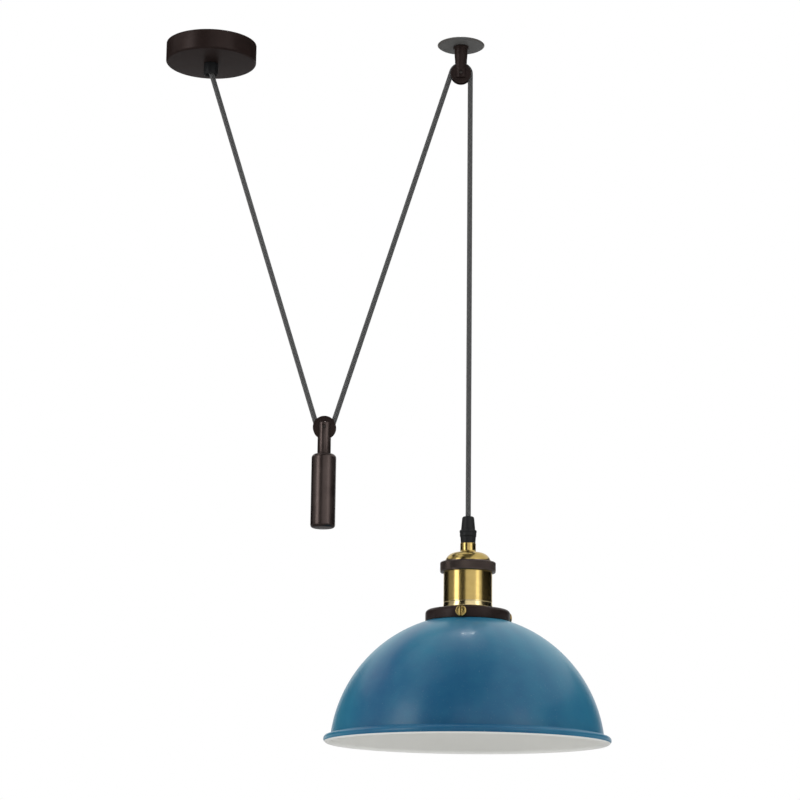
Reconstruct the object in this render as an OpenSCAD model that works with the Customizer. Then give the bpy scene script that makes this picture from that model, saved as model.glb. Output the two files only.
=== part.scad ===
// Rise and fall pendant: a ceiling rose, a pulley hook, a counterweight and a lamp on one cord.
// Millimetres. The origin is the centre of the rose on the ceiling, +Z up, +X towards the hook.

/* [Layout] */
// Distance from the centre of the rose to the centre of the ceiling hook
hook_spacing = 278; // [200:1:400]
// Distance from the ceiling down to the axle of the hook's pulley
hook_drop = 34; // [33:0.5:60]
// Distance from the ceiling down to the axle of the counterweight's pulley
weight_drop = 435; // [250:1:500]
// Distance from the ceiling down to the top of the lamp's cord grip
lamp_drop = 531; // [400:1:1200]

/* [Ceiling rose] */
// Diameter of the rose's cover
rose_d = 100; // [90:1:140]
// Height of the rose's cover
rose_h = 22; // [21:0.5:40]
// Sheet thickness of the cover
rose_wall = 1.2; // [0.8:0.1:2]
// Outside radius of the cover's lower edge
rose_edge_r = 2.5; // [2:0.1:5]
// Depth of the cover screws below the ceiling
cover_screw_z = 8; // [6:0.5:10]
// Thread diameter of the cover screws
cover_screw_d = 4; // [3:0.5:5]
// Thickness of the fixing strap
strap_t = 1.5; // [1:0.1:2.5]
// Width of the fixing strap
strap_w = 26; // [22:1:34]
// Width of the strap's two ears
ear_w = 14; // [10:1:18]
// Distance between the centres of the two ceiling screw slots
slot_spacing = 68; // [60:1:70]
// End to end length of a ceiling screw slot
slot_l = 12; // [8:1:14]
// Width of a ceiling screw slot
slot_w = 4.5; // [3.5:0.1:6]

/* [Connector block] */
// Distance between two ways of the connector block
way_pitch = 8; // [7:0.5:9]
// Length of the block along the ways
block_l = 16; // [14:0.5:18]
// Height of the block
block_h = 9; // [8:0.5:9.5]
// Outside diameter of a brass insert
insert_d = 4.4; // [4:0.1:5]
// Length of a brass insert
insert_l = 12; // [8:0.5:14]
// Outside diameter of one insulated lead
lead_d = 2; // [1.4:0.1:2.2]

/* [Cord and grips] */
// Outside diameter of the cord
cord_d = 5.6; // [4.5:0.1:6]
// Outside diameter of the hollow nipples
nipple_d = 10; // [9:0.5:10.5]
// Across flats size of the nuts on the nipples
nut_af = 14; // [12:0.5:15]
// Thickness of the nuts on the nipples
nut_t = 2.5; // [1.5:0.1:2.5]
// Outside diameter of the rose's cord grip
rose_grip_d = 16; // [15.5:0.5:22]
// Height of the rose's cord grip
rose_grip_h = 13; // [12:0.5:20]
// Diameter of the flange on the lamp's cord grip
lamp_grip_d = 18.2; // [17:0.1:24]
// Height of the upper, screwed half of the lamp's cord grip
grip_cap_h = 14.7; // [12:0.1:20]
// Height of the lower half of the lamp's cord grip
grip_body_h = 14; // [12:0.1:20]

/* [Pulleys and forks] */
// Thickness of a pulley
wheel_w = 7.4; // [7.2:0.1:9]
// Diameter of the axles
axle_d = 4; // [3:0.1:5]
// Radius of the cord's centre line on the hook's pulley
hook_cord_r = 10.5; // [9.5:0.1:12]
// Radius of the flanges of the hook's pulley
hook_wheel_r = 11.4; // [11:0.1:14]
// Radius of the cord's centre line on the counterweight's pulley
weight_cord_r = 7.5; // [7:0.1:9]
// Radius of the flanges of the counterweight's pulley
weight_wheel_r = 12.4; // [11:0.1:13]
// Diameter of the hook's ceiling plate
plate_d = 52; // [40:1:80]
// Thickness of the ceiling plate
plate_t = 2.2; // [1.5:0.1:4]
// Diameter of the hook's stem
stem_d = 14.4; // [13.6:0.1:18]
// Diameter across the hook's two tines
tine_d = 13.2; // [12.6:0.1:14.4]
// Diameter of the collar under the ceiling plate
collar_d = 17; // [16:0.5:24]
// Height of the collar under the ceiling plate
collar_h = 2.6; // [1:0.1:4]
// Core diameter of the thread for the ceiling bolt
bolt_core_d = 5; // [4:0.1:6]
// Depth of the thread for the ceiling bolt
bolt_depth = 14; // [8:0.5:14.5]
// Length of the tines past the axle
tine_end = 5.5; // [4:0.1:9]

/* [Counterweight] */
// Diameter of the counterweight
weight_d = 26.5; // [24:0.5:34]
// Length of the counterweight's body
weight_l = 80; // [60:1:120]
// Distance from the pulley's axle down to the body
weight_neck = 29; // [26:0.5:40]
// Diameter of the counterweight's fork
neck_d = 14.4; // [13:0.1:16]
// Radius of the body's upper shoulder
weight_top_r = 7.5; // [3:0.5:8]
// Radius of the body's lower edge
weight_foot_r = 3.2; // [1:0.1:6]
// Diameter of the threaded stud between fork and body
stud_d = 8; // [6:0.5:10]
// Length of the threaded stud
stud_l = 12; // [8:1:20]

/* [Lampholder] */
// Diameter of the cap's neck
cap_neck_d = 16.6; // [16:0.1:20]
// Height of the cap's neck
cap_neck_h = 7.4; // [6:0.1:9]
// Diameter of the cap's domed skirt
cap_d = 48.8; // [46:0.1:50]
// Radius of the curve from the neck into the dome
cap_fillet_r = 3; // [1:0.1:3.5]
// Radius of the dome's shoulder
cap_dome_r = 11; // [8:0.1:12]
// Sheet thickness of the brass shells
brass_wall = 1; // [0.8:0.1:1.2]
// Diameter of the knurled ring
ring_d = 59; // [57:0.1:64]
// Height of the knurled ring
ring_h = 10.6; // [8:0.1:14]
// Thickness of the lip that holds the cap in the ring
ring_lip = 1.5; // [1:0.1:2]
// Diameter of the lampholder's sleeve
sleeve_d = 51.6; // [51:0.1:54]
// Length of the sleeve below the knurled ring
sleeve_l = 37.7; // [34:0.1:50]
// Height of the rolled bead at the foot of the sleeve
bead_h = 5.2; // [3:0.1:8]
// Step of the bead out of the sleeve
bead_step = 0.4; // [0.2:0.1:1]
// Height of the porcelain inside the sleeve
core_h = 35.5; // [30:0.5:36]
// Diameter of the threaded skirt that the lock ring runs on
skirt_d = 39.6; // [38:0.1:40]
// Length of the skirt below the sleeve
skirt_l = 22.5; // [20:0.5:30]
// Inside diameter of the threaded lamp socket
socket_d = 26.6; // [26:0.1:27]
// Depth of the hole for the lamp cap
socket_depth = 34; // [30:0.5:40]
// Length of the threaded shell
shell_l = 26; // [20:0.5:30]

/* [Shade and its holder] */
// Diameter of the shade holder
gallery_d = 89.5; // [86:0.1:96]
// Height of the shade holder
gallery_h = 14.7; // [14:0.1:15]
// Sheet thickness of the shade holder
gallery_wall = 1.2; // [0.8:0.1:1.5]
// Radius of the shade holder's shoulder
gallery_r = 4.2; // [3:0.1:5]
// Diameter of the raised seat under the sleeve
seat_d = 55.4; // [54:0.1:62]
// Height of the raised seat
seat_h = 1.1; // [0.6:0.1:1.5]
// Fall of the shade holder's top from the seat to the shoulder
gallery_fall = 1.4; // [0.5:0.1:2]
// Diameter of the shade screws' heads
head_d = 11.5; // [8:0.5:12]
// Thickness of the shade screws' heads
head_t = 3.5; // [2:0.1:5]
// Thread diameter of the shade screws
thumb_d = 4; // [3:0.5:4.5]
// Direction of the first shade screw
thumb_turn = 8.4; // [-30:0.1:30]
// Diameter of the shade over its rolled edge
shade_d = 300; // [298:1:320]
// Radius of the shade's domed sheet, outside
dome_r = 143.5; // [142:0.1:144]
// Height of the shade's lower edge above the centre of the dome
edge_up = 9; // [5:0.5:12]
// Sheet thickness of the shade
shade_wall = 0.8; // [0.6:0.1:1.5]
// Radius of the rolled edge
roll_r = 4; // [3.5:0.1:4.5]
// Outside diameter of the shade's neck
shade_neck_d = 80.4; // [78:0.1:81]
// Step of the lip around the top of the neck
shade_lip = 1.6; // [1:0.1:2]

/* [Fits] */
// Radial play of an axle in its holes
axle_fit = 0.05; // [0.01:0.01:0.1]
// Gap between pieces that move past each other
run_gap = 0.3; // [0.2:0.05:0.35]
// Gap around a thread or a spigot
thread_fit = 0.1; // [0.05:0.05:0.2]

/* [Hidden] */
$fn = 96;
eps = 0.01;

// Colours of the finishes
bronze = [0.17, 0.13, 0.12];
brass = [0.72, 0.56, 0.27];
black_plastic = [0.08, 0.08, 0.08];
steel = [0.7, 0.71, 0.72];
porcelain = [0.93, 0.92, 0.88];
enamel = [0.2, 0.42, 0.56];
braid = [0.22, 0.22, 0.23];

// Cord route in the plane of the pulleys, as [x, z]
cord_r = cord_d / 2;
cord_bore_r = cord_r + run_gap;
pivot_up = 4;
exit = [0, -(rose_h + rose_grip_h - pivot_up)];
hook = [hook_spacing, -hook_drop];
weight = [(hook_spacing - hook_cord_r) / 2, -weight_drop];
lamp_x = hook_spacing + hook_cord_r;
grip_top = -lamp_drop;
left_lean = lean(weight - exit) - asin(weight_cord_r / norm(weight - exit));
right_lean = lean(weight - hook) - asin((weight_cord_r + hook_cord_r) / norm(hook - weight));
left_end = weight + weight_cord_r * [-cos(left_lean), -sin(left_lean)];
right_start = weight + weight_cord_r * [cos(right_lean), -sin(right_lean)];
right_end = hook + hook_cord_r * [-cos(right_lean), sin(right_lean)];
drop_start = [lamp_x, hook[1]];
drop_end = [lamp_x, grip_top];
cord_sides = 12;
ring_step = 18;
cord_split = 0.05;

// Rose
rose_r = rose_d / 2;
rose_floor = -(rose_h - rose_wall);
nipple_r = nipple_d / 2;
nipple_bore_r = cord_bore_r;
thread_out = 0.8;
cord_out = 0.5;
rose_nipple_in = 6;
rose_nipple_top = rose_floor + nut_t + thread_out;
rose_nipple_low = -rose_h - rose_nipple_in;
rose_cord_top = rose_nipple_top + cord_out;
ear_face = sqrt(pow(rose_r - rose_wall - run_gap, 2) - pow(ear_w / 2, 2)) - run_gap;
ear_tail = 5;
ear_step = 7;
ear_depth = cover_screw_z + ear_tail;
cover_head_r = 0.9 * cover_screw_d;
cover_head_back = 1;
cover_slot = 0.8;
strap_hole_x = -21;
strap_hole_d = 7;
earth_x = 21;
earth_screw_d = 4;
block_low = -(strap_t + block_h);
block_screw_d = 3;
block_screw_head_r = 2.6;
block_screw_head_h = 1.4;
way_z = -strap_t - 4.2;
block_step = 0.5;
way_inset = 3;
insert_bore_r = 1.2;
terminal_screw_r = 1.25;
terminal_sink = 1.2;
washer_r = 4;
washer_t = 0.8;
earth_head_r = 3.6;
earth_head_h = 2.6;
grip_screw_r = 1.5;
grip_screw_z = rose_nipple_low - grip_screw_r - 0.4;
grip_mouth_r = rose_grip_d / 2 - 1.6;
lead_r = lead_d / 2;
insert_screw_y = 3.6;

// Pulleys and forks
groove_r = cord_r + run_gap;
slot_half = wheel_w / 2 + run_gap;
hook_slot_r = hook_cord_r + cord_r + 1;
weight_slot_r = weight_wheel_r + 0.7;
tine_chamfer = 0.8;
axle_sink = 0.2;
hook_stem_l = 7;
collar_bevel = 0.5;
plate_hole_r = bolt_core_d / 2 + 0.7;

// Counterweight
weight_top = weight[1] - weight_neck;
weight_low = weight_top - weight_l;

// Lampholder levels
grip_mid = grip_top - grip_cap_h;
neck_top = grip_mid - grip_body_h;
dome_top = neck_top - cap_neck_h - cap_fillet_r;
dome_in_ring = 0.8;
ring_top = dome_top - cap_dome_r + dome_in_ring;
ring_bevel = 0.8;
grip_socket_r = cord_bore_r + 2.2;
grip_socket_h = 5;
grip_nipple_in = 8;
cap_low = ring_top - ring_lip - brass_wall;
ring_low = ring_top - ring_h;
sleeve_low = ring_low - sleeve_l;
core_top = sleeve_low + brass_wall + core_h;
core_low = sleeve_low - skirt_l;
core_r = sleeve_d / 2 - brass_wall - run_gap;
skirt_r = skirt_d / 2;
socket_top = core_low + socket_depth;
shell_low = core_low + 3;
shell_wall = 0.5;
nut_top = dome_top - brass_wall;
tag_t = 0.8;
tag_r = 7;
tag_l = 10.5;
tag_w = 4;
lamp_nipple_low = nut_top - tag_t - nut_t - 1;
lamp_cord_low = lamp_nipple_low - cord_out;
post_x = 11;
post_h = 6;
post_w = 6;
post_depth = 8;
post_bore_r = 1.6;
post_head_r = 2.4;

// Shade holder and shade
neck_r = shade_neck_d / 2;
lip_play = 0.5;
gallery_top = sleeve_low;
gallery_low = gallery_top - gallery_h;
gallery_ro = max(gallery_d / 2, neck_r + shade_lip + lip_play + gallery_wall);
deck_z = gallery_top - seat_h;
shoulder_z = deck_z - gallery_fall;
hole_r = skirt_r + 0.5;
thumb_r = thumb_d / 2;
thumb_z = gallery_low + head_d / 2 + 0.2;
thumb_count = 3;
lip_low = thumb_z + thumb_r + run_gap;
dome_z = gallery_low - sqrt(pow(dome_r, 2) - pow(gallery_ro, 2)) - 0.45;
edge_z = dome_z + edge_up;
roll_centre = [shade_d / 2 - roll_r, edge_z + roll_r];
dome_foot_r = sqrt(pow(dome_r, 2) - pow(edge_up + roll_r, 2));
lock_t = 6;
lock_r = 26;
lock_flange = 2;
lock_notches = 4;
lock_notch_w = 5;
lock_notch_in = 3.6;

// Angle from the vertical of a vector in the pulley plane
function lean(v) = abs(atan(v[0] / v[1]));

function unit(v) = v / norm(v);

// The point on a smooth curve through four neighbours
function spline(a, b, c, d, t) =
    0.5 * (2 * b + (c - a) * t + (2 * a - 5 * b + 4 * c - d) * t * t
    + (3 * b - a - 3 * c + d) * t * t * t);

function smooth(p, steps) = [
    for (i = [0 : len(p) - 2])
        for (s = [0 : steps - 1])
            spline(p[max(i - 1, 0)], p[i], p[i + 1], p[min(i + 2, len(p) - 1)], s / steps),
    p[len(p) - 1]
];

// A straight run from a to b in the pulley plane, with a point at least every ring_step. It starts
// and stops short of its neighbours by the two trims.
function run(a, b, trim_a, trim_b) =
    let (
        way = unit(b - a),
        from = a + trim_a * way,
        to = b - trim_b * way,
        count = ceil(norm(to - from) / ring_step),
        step = (to - from) / count
    )
    [for (i = [0 : count]) [from[0] + step[0] * i, 0, from[1] + step[1] * i]];

function tangent(p, i) = unit(p[min(i + 1, len(p) - 1)] - p[max(i - 1, 0)]);

// A round tube along a path. The side vector is square to every stretch of the path.
module tube(path, r, sides, side, first = undef, last = undef) {
    ends = len(path) - 1;
    along = [for (i = [0 : ends]) i == 0 && !is_undef(first) ? first
        : i == ends && !is_undef(last) ? last : tangent(path, i)];
    points = [for (i = [0 : ends])
        let (u = unit(cross(along[i], side)), w = cross(along[i], u))
        for (k = [0 : sides - 1])
            path[i] + r * (cos(360 * k / sides) * u + sin(360 * k / sides) * w)];
    walls = [for (i = [0 : ends - 1]) for (k = [0 : sides - 1])
        let (n = (k + 1) % sides)
        [i * sides + k, (i + 1) * sides + k, (i + 1) * sides + n, i * sides + n]];
    start = [for (k = [0 : sides - 1]) k];
    stop = [for (k = [sides - 1 : -1 : 0]) ends * sides + k];
    polyhedron(points, concat([start, stop], walls));
}

module rod(r, low, high) {
    translate([0, 0, low]) cylinder(r = r, h = high - low);
}

module band(r_out, r_in, low, high) {
    difference() {
        rod(r_out, low, high);
        rod(r_in, low - 1, high + 1);
    }
}

module hex_nut(r_bore, low, high) {
    difference() {
        translate([0, 0, low]) cylinder(d = nut_af / cos(30), h = high - low, $fn = 6);
        rod(r_bore, low - 1, high + 1);
    }
}

// A half section, from the axis to r, with a rounded lower corner
module cup_section(r, low, high, edge) {
    translate([0, low + edge]) square([r, high - low - edge]);
    translate([0, low]) square([r - edge, edge + eps]);
    translate([r - edge, low + edge]) circle(edge);
}

module at_hook() {
    translate([hook[0], 0, hook[1]]) rotate([90, 0, 0]) children();
}

module at_weight() {
    translate([weight[0], 0, weight[1]]) rotate([90, 0, 0]) children();
}

module on_hook_axis() {
    translate([hook[0], 0, 0]) children();
}

module on_weight_axis() {
    translate([weight[0], 0, 0]) children();
}

module on_lamp_axis() {
    translate([lamp_x, 0, 0]) children();
}

// A slotted screw head, flat on z = 0, that points up
module slotted_head(r, h, slot) {
    difference() {
        cylinder(r = r, h = h);
        translate([-slot / 2, -r - 1, h - slot]) cube([slot, 2 * r + 2, slot + 1]);
    }
}

// ---- Rose

module cover_screw_holes(r) {
    for (turn = [0, 180])
        rotate([0, 0, turn]) translate([ear_face - 8, 0, -cover_screw_z])
            rotate([0, 90, 0]) cylinder(r = r, h = rose_r);
}

module cover_screw_heads(play) {
    for (turn = [0, 180])
        rotate([0, 0, turn]) translate([rose_r - rose_wall - cover_head_back, 0, -cover_screw_z])
            rotate([0, 90, 0])
                cylinder(r1 = cover_head_r - rose_wall - cover_head_back + play,
                    r2 = cover_head_r + play, h = rose_wall + cover_head_back);
}

module rose_cover() {
    color(bronze) difference() {
        rotate_extrude() difference() {
            cup_section(rose_r, -rose_h, 0, rose_edge_r);
            cup_section(rose_r - rose_wall, rose_floor, 1, rose_edge_r - rose_wall);
        }
        rod(nipple_r + thread_fit, -rose_h - 1, rose_floor + 1);
        cover_screw_heads(thread_fit);
    }
}

module slot_cut(x) {
    for (end = [-1, 1])
        translate([x + end * (slot_l - slot_w) / 2, 0, 0]) rod(slot_w / 2, -strap_t - 1, 1);
    translate([x - (slot_l - slot_w) / 2, -slot_w / 2, -strap_t - 1])
        cube([slot_l - slot_w, slot_w, strap_t + 2]);
}

module rose_bracket() {
    color(steel) difference() {
        union() {
            translate([-ear_face, -ear_w / 2, -strap_t]) cube([2 * ear_face, ear_w, strap_t]);
            translate([-ear_face + ear_step, -strap_w / 2, -strap_t])
                cube([2 * (ear_face - ear_step), strap_w, strap_t]);
            for (side = [-1, 1])
                translate([side * (ear_face - strap_t / 2) - strap_t / 2, -ear_w / 2, -ear_depth])
                    cube([strap_t, ear_w, ear_depth]);
        }
        for (side = [-1, 1])
            slot_cut(side * slot_spacing / 2);
        cover_screw_holes(cover_screw_d / 2 + thread_fit);
        translate([strap_hole_x, 0, 0]) rod(strap_hole_d / 2, -strap_t - 1, 1);
        translate([earth_x, 0, 0]) rod(earth_screw_d / 2 + thread_fit, -strap_t - 1, 1);
        translate([way_pitch / 2, 0, 0]) rod(block_screw_d / 2 + thread_fit, -strap_t - 1, 1);
    }
}

module cover_screws() {
    color(bronze) difference() {
        union() {
            cover_screw_heads(0);
            for (turn = [0, 180])
                rotate([0, 0, turn]) translate([ear_face - ear_tail, 0, -cover_screw_z])
                    rotate([0, 90, 0]) cylinder(r = cover_screw_d / 2,
                        h = rose_r - rose_wall - cover_head_back + eps - ear_face + ear_tail);
        }
        for (turn = [0, 180])
            rotate([0, 0, turn])
                translate([rose_r - cover_slot, -cover_screw_d, -cover_screw_z - cover_slot / 2])
                    cube([2, 2 * cover_screw_d, cover_slot]);
    }
}

// Places its children at the middle of each way of the connector block
module each_way() {
    for (way = [-1, 0, 1])
        translate([way * way_pitch, 0, way_z]) children();
}

module terminal_block() {
    color(porcelain) difference() {
        union() {
            translate([-way_pitch * 1.5 + block_step, -block_l / 2, block_low])
                cube([way_pitch * 3 - 2 * block_step, block_l, block_h]);
            translate([-way_pitch * 1.5, -block_l / 2 + way_inset, block_low])
                cube([way_pitch * 3, block_l - 2 * way_inset, block_h]);
        }
        each_way() rotate([90, 0, 0])
            translate([0, 0, -block_l]) cylinder(d = insert_d + 2 * thread_fit, h = 2 * block_l);
        each_way() for (end = [-1, 1])
            translate([0, end * insert_screw_y, -block_h])
                cylinder(r = terminal_screw_r + 0.2, h = block_h);
        for (side = [-1, 1])
            translate([side * way_pitch / 2, 0, block_low - 1])
                cylinder(d = block_screw_d + 2 * thread_fit, h = block_h + 2);
    }
}

module terminal_inserts() {
    color(brass) each_way() difference() {
        rotate([90, 0, 0]) translate([0, 0, -insert_l / 2]) cylinder(d = insert_d, h = insert_l);
        rotate([90, 0, 0]) translate([0, 0, -insert_l])
            cylinder(r = insert_bore_r, h = 2 * insert_l);
        for (end = [-1, 1])
            translate([0, end * insert_screw_y, -5])
                cylinder(r = terminal_screw_r + thread_fit, h = 5);
    }
}

module terminal_screws() {
    color(steel) each_way() for (end = [-1, 1])
        translate([0, end * insert_screw_y, block_low - way_z + terminal_sink]) difference() {
            cylinder(r = terminal_screw_r, h = way_z - block_low - 2 * terminal_sink);
            translate([-0.3, -2, -eps]) cube([0.6, 4, 0.6]);
        }
}

module block_screw() {
    color(steel) translate([way_pitch / 2, 0, block_low - block_screw_head_h]) {
        difference() {
            cylinder(r = block_screw_head_r, h = block_screw_head_h);
            translate([-0.4, -3, -eps]) cube([0.8, 6, 0.7]);
        }
        cylinder(d = block_screw_d, h = block_screw_head_h + block_h + strap_t);
    }
}

module earth_screw() {
    color(brass) translate([earth_x, 0, 0]) {
        rod(earth_screw_d / 2, -strap_t - 3, 0);
        translate([0, 0, -strap_t]) mirror([0, 0, 1])
            band(washer_r, earth_screw_d / 2 - thread_fit, 0, washer_t);
        translate([0, 0, -strap_t - washer_t]) mirror([0, 0, 1])
            slotted_head(earth_head_r, earth_head_h, 1);
    }
}

module rose_nipple() {
    color(steel) band(nipple_r, nipple_bore_r, rose_nipple_low, rose_nipple_top);
}

module rose_nut() {
    color(steel) hex_nut(nipple_r + thread_fit, rose_floor, rose_floor + nut_t);
}

module rose_cord_grip() {
    low = -rose_h - rose_grip_h;
    color(black_plastic) difference() {
        rotate_extrude() cup_section(rose_grip_d / 2, low, -rose_h, 1);
        rod(nipple_r + thread_fit, rose_nipple_low, -rose_h + 1);
        rod(cord_bore_r, low - 1, -rose_h);
        translate([0, 0, low - eps])
            cylinder(r1 = grip_mouth_r, r2 = cord_bore_r, h = pivot_up + 1);
        translate([0, cord_bore_r, grip_screw_z]) rotate([-90, 0, 0])
            cylinder(r = grip_screw_r + thread_fit, h = rose_grip_d);
    }
}

module rose_grip_screw() {
    color(black_plastic) translate([0, cord_bore_r, grip_screw_z])
        rotate([-90, 0, 0]) difference() {
            cylinder(r = grip_screw_r, h = rose_grip_d / 2 - cord_bore_r - run_gap);
            translate([-0.35, -2, rose_grip_d / 2 - cord_bore_r - 1.1]) cube([0.7, 4, 2]);
        }
}

// Three leads from the end of the cord to the near side of the connector block
module rose_leads() {
    color(brass) for (way = [-1, 0, 1])
        tube(smooth([
            [way * 1.4, way == 0 ? 1.2 : -0.6, rose_cord_top + 0.1],
            [way * 1.6, way == 0 ? 1.4 : -0.3, rose_cord_top + 1.3],
            [way * 3.4, 4, rose_cord_top + 3],
            [way * 6.4, 9, rose_cord_top + 4.4],
            [way * way_pitch, 11.8, rose_cord_top + 7.6],
            [way * way_pitch, 10, way_z - 0.4],
            [way * way_pitch, insert_l / 2, way_z]
        ], 2), lead_r, 8, [1, 0, 0], [0, 0, 1], [0, -1, 0]);
}

// ---- Ceiling hook

module hook_plate() {
    color(bronze) on_hook_axis() difference() {
        rotate_extrude() polygon([
            [0, 0], [plate_d / 2 - 1.6, 0], [plate_d / 2, -0.9],
            [plate_d / 2, -1.5], [plate_d / 2 - 0.7, -plate_t], [0, -plate_t]
        ]);
        rod(plate_hole_r, -plate_t - 1, 1);
    }
}

module fork_slot(r, way) {
    rotate([90, 0, 0]) translate([0, 0, -slot_half]) cylinder(r = r, h = 2 * slot_half);
    translate([-r, -slot_half, way > 0 ? 0 : -2 * r]) cube([2 * r, 2 * slot_half, 2 * r]);
}

module axle_hole(radius) {
    rotate([90, 0, 0]) translate([0, 0, -stem_d]) cylinder(r = radius, h = 2 * stem_d);
}

module hook_fork() {
    stem_low = -plate_t - collar_h - hook_stem_l;
    cone_low = hook[1] + hook_slot_r + 1;
    end = hook[1] - tine_end;
    color(bronze) on_hook_axis() difference() {
        rotate_extrude() polygon([
            [0, -plate_t], [collar_d / 2 - collar_bevel, -plate_t],
            [collar_d / 2, -plate_t - collar_bevel],
            [collar_d / 2, -plate_t - collar_h + collar_bevel],
            [collar_d / 2 - collar_bevel, -plate_t - collar_h],
            [stem_d / 2, -plate_t - collar_h], [stem_d / 2, stem_low], [tine_d / 2, cone_low],
            [tine_d / 2, end + tine_chamfer], [tine_d / 2 - tine_chamfer, end], [0, end]
        ]);
        rod(bolt_core_d / 2, -plate_t - bolt_depth, 1);
        translate([0, 0, hook[1]]) fork_slot(hook_slot_r, -1);
        translate([0, 0, hook[1]]) axle_hole(axle_d / 2 + axle_fit);
    }
}

module axle(across) {
    translate([0, 0, -across / 2 + axle_sink]) cylinder(d = axle_d, h = across - 2 * axle_sink);
}

module hook_axle() {
    color(steel) at_hook() axle(tine_d);
}

module pulley(flange_r, line_r) {
    rotate_extrude() difference() {
        translate([axle_d / 2 + axle_fit, -wheel_w / 2])
            square([flange_r - axle_d / 2 - axle_fit, wheel_w]);
        translate([line_r, 0]) circle(groove_r);
        translate([line_r, -groove_r]) square([flange_r, 2 * groove_r]);
    }
}

module hook_wheel() {
    color(bronze) at_hook() pulley(hook_wheel_r, hook_cord_r);
}

// ---- Counterweight

module weight_body() {
    r = weight_d / 2;
    color(bronze) on_weight_axis() difference() {
        rotate_extrude() union() {
            cup_section(r, weight_low, weight_top - weight_top_r, weight_foot_r);
            translate([0, weight_top - weight_top_r - eps])
                square([r - weight_top_r, weight_top_r + eps]);
            intersection() {
                translate([r - weight_top_r, weight_top - weight_top_r]) circle(weight_top_r);
                translate([0, weight_top - weight_top_r - eps])
                    square([r, weight_top_r + eps]);
            }
        }
        rod(stud_d / 2 + thread_fit, weight_top - stud_l - 1, weight_top + 1);
    }
}

module weight_fork() {
    end = weight[1] + tine_end;
    color(bronze) on_weight_axis() difference() {
        union() {
            rotate_extrude() polygon([
                [0, weight_top], [neck_d / 2, weight_top], [neck_d / 2, end - tine_chamfer],
                [neck_d / 2 - tine_chamfer, end], [0, end]
            ]);
            rod(stud_d / 2, weight_top - stud_l, weight_top + eps);
        }
        translate([0, 0, weight[1]]) fork_slot(weight_slot_r, 1);
        translate([0, 0, weight[1]]) axle_hole(axle_d / 2 + axle_fit);
    }
}

module weight_axle() {
    color(steel) at_weight() axle(neck_d);
}

module weight_wheel() {
    color(bronze) at_weight() pulley(weight_wheel_r, weight_cord_r);
}

// ---- Lamp: cord grip and wiring

module lamp_grip_cap() {
    color(black_plastic) on_lamp_axis() difference() {
        rotate_extrude() polygon([
            [cord_bore_r, grip_top - 0.6], [cord_bore_r + 0.8, grip_top],
            [lamp_grip_d / 2 - 4, grip_top], [lamp_grip_d / 2 - 2.9, grip_top - 0.9],
            [lamp_grip_d / 2 - 2.6, grip_top - 2.4], [lamp_grip_d / 2 - 1.5, grip_mid],
            [grip_socket_r, grip_mid], [grip_socket_r, grip_mid + grip_socket_h],
            [cord_bore_r, grip_mid + grip_socket_h + 3]
        ]);
    }
}

module lamp_grip_body() {
    r = lamp_grip_d / 2;
    color(black_plastic) on_lamp_axis() difference() {
        rotate_extrude() polygon([
            [0, grip_mid], [r - 0.4, grip_mid], [r, grip_mid - 0.4], [r, grip_mid - 2.4],
            [r - 0.3, grip_mid - 2.8], [r - 0.3, grip_mid - 6.4], [r - 0.9, grip_mid - 7.4],
            [r - 1.3, neck_top], [0, neck_top]
        ]);
        rod(cord_bore_r, neck_top - 1, grip_mid + 1);
        rod(nipple_r + thread_fit, neck_top - 1, neck_top + grip_nipple_in + cord_out);
    }
}

module lamp_nipple() {
    color(steel) on_lamp_axis()
        band(nipple_r, nipple_bore_r, lamp_nipple_low, neck_top + grip_nipple_in);
}

module lamp_nut() {
    color(steel) on_lamp_axis()
        hex_nut(nipple_r + thread_fit, nut_top - tag_t - nut_t, nut_top - tag_t);
}

module earth_tag() {
    color(brass) on_lamp_axis() difference() {
        union() {
            rod(tag_r, nut_top - tag_t, nut_top);
            translate([-tag_w / 2, 0, nut_top - tag_t]) cube([tag_w, tag_l, tag_t]);
        }
        rod(nipple_r + thread_fit, nut_top - tag_t - 1, nut_top + 1);
    }
}

// Two leads to the socket's terminals and one to the earth tag
module lamp_leads() {
    post_top = core_top + post_h;
    color(brass) on_lamp_axis() {
        for (side = [-1, 1])
            tube(smooth([
                [side * 1.4, -0.8, lamp_cord_low - 0.3], [side * 1.5, -0.8, lamp_cord_low - 1.8],
                [side * (post_x - 4), 0, post_top + 5], [side * post_x, 0, post_top + 2.6],
                [side * post_x, 0, post_top]
            ], 3), lead_r, 8, [0, 1, 0], [0, 0, -1], [0, 0, -1]);
        tube(smooth([
            [0, 1.5, lamp_cord_low - 0.3], [0, 1.7, lamp_cord_low - 1.7],
            [0, 4.6, lamp_cord_low - 4], [0, 8.2, lamp_cord_low - 2.4],
            [0, 9.3, nut_top - tag_t - 2.4], [0, 9.3, nut_top - tag_t]
        ], 2), lead_r, 8, [1, 0, 0], [0, 0, -1], [0, 0, 1]);
    }
}

// ---- Lamp: holder

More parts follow.
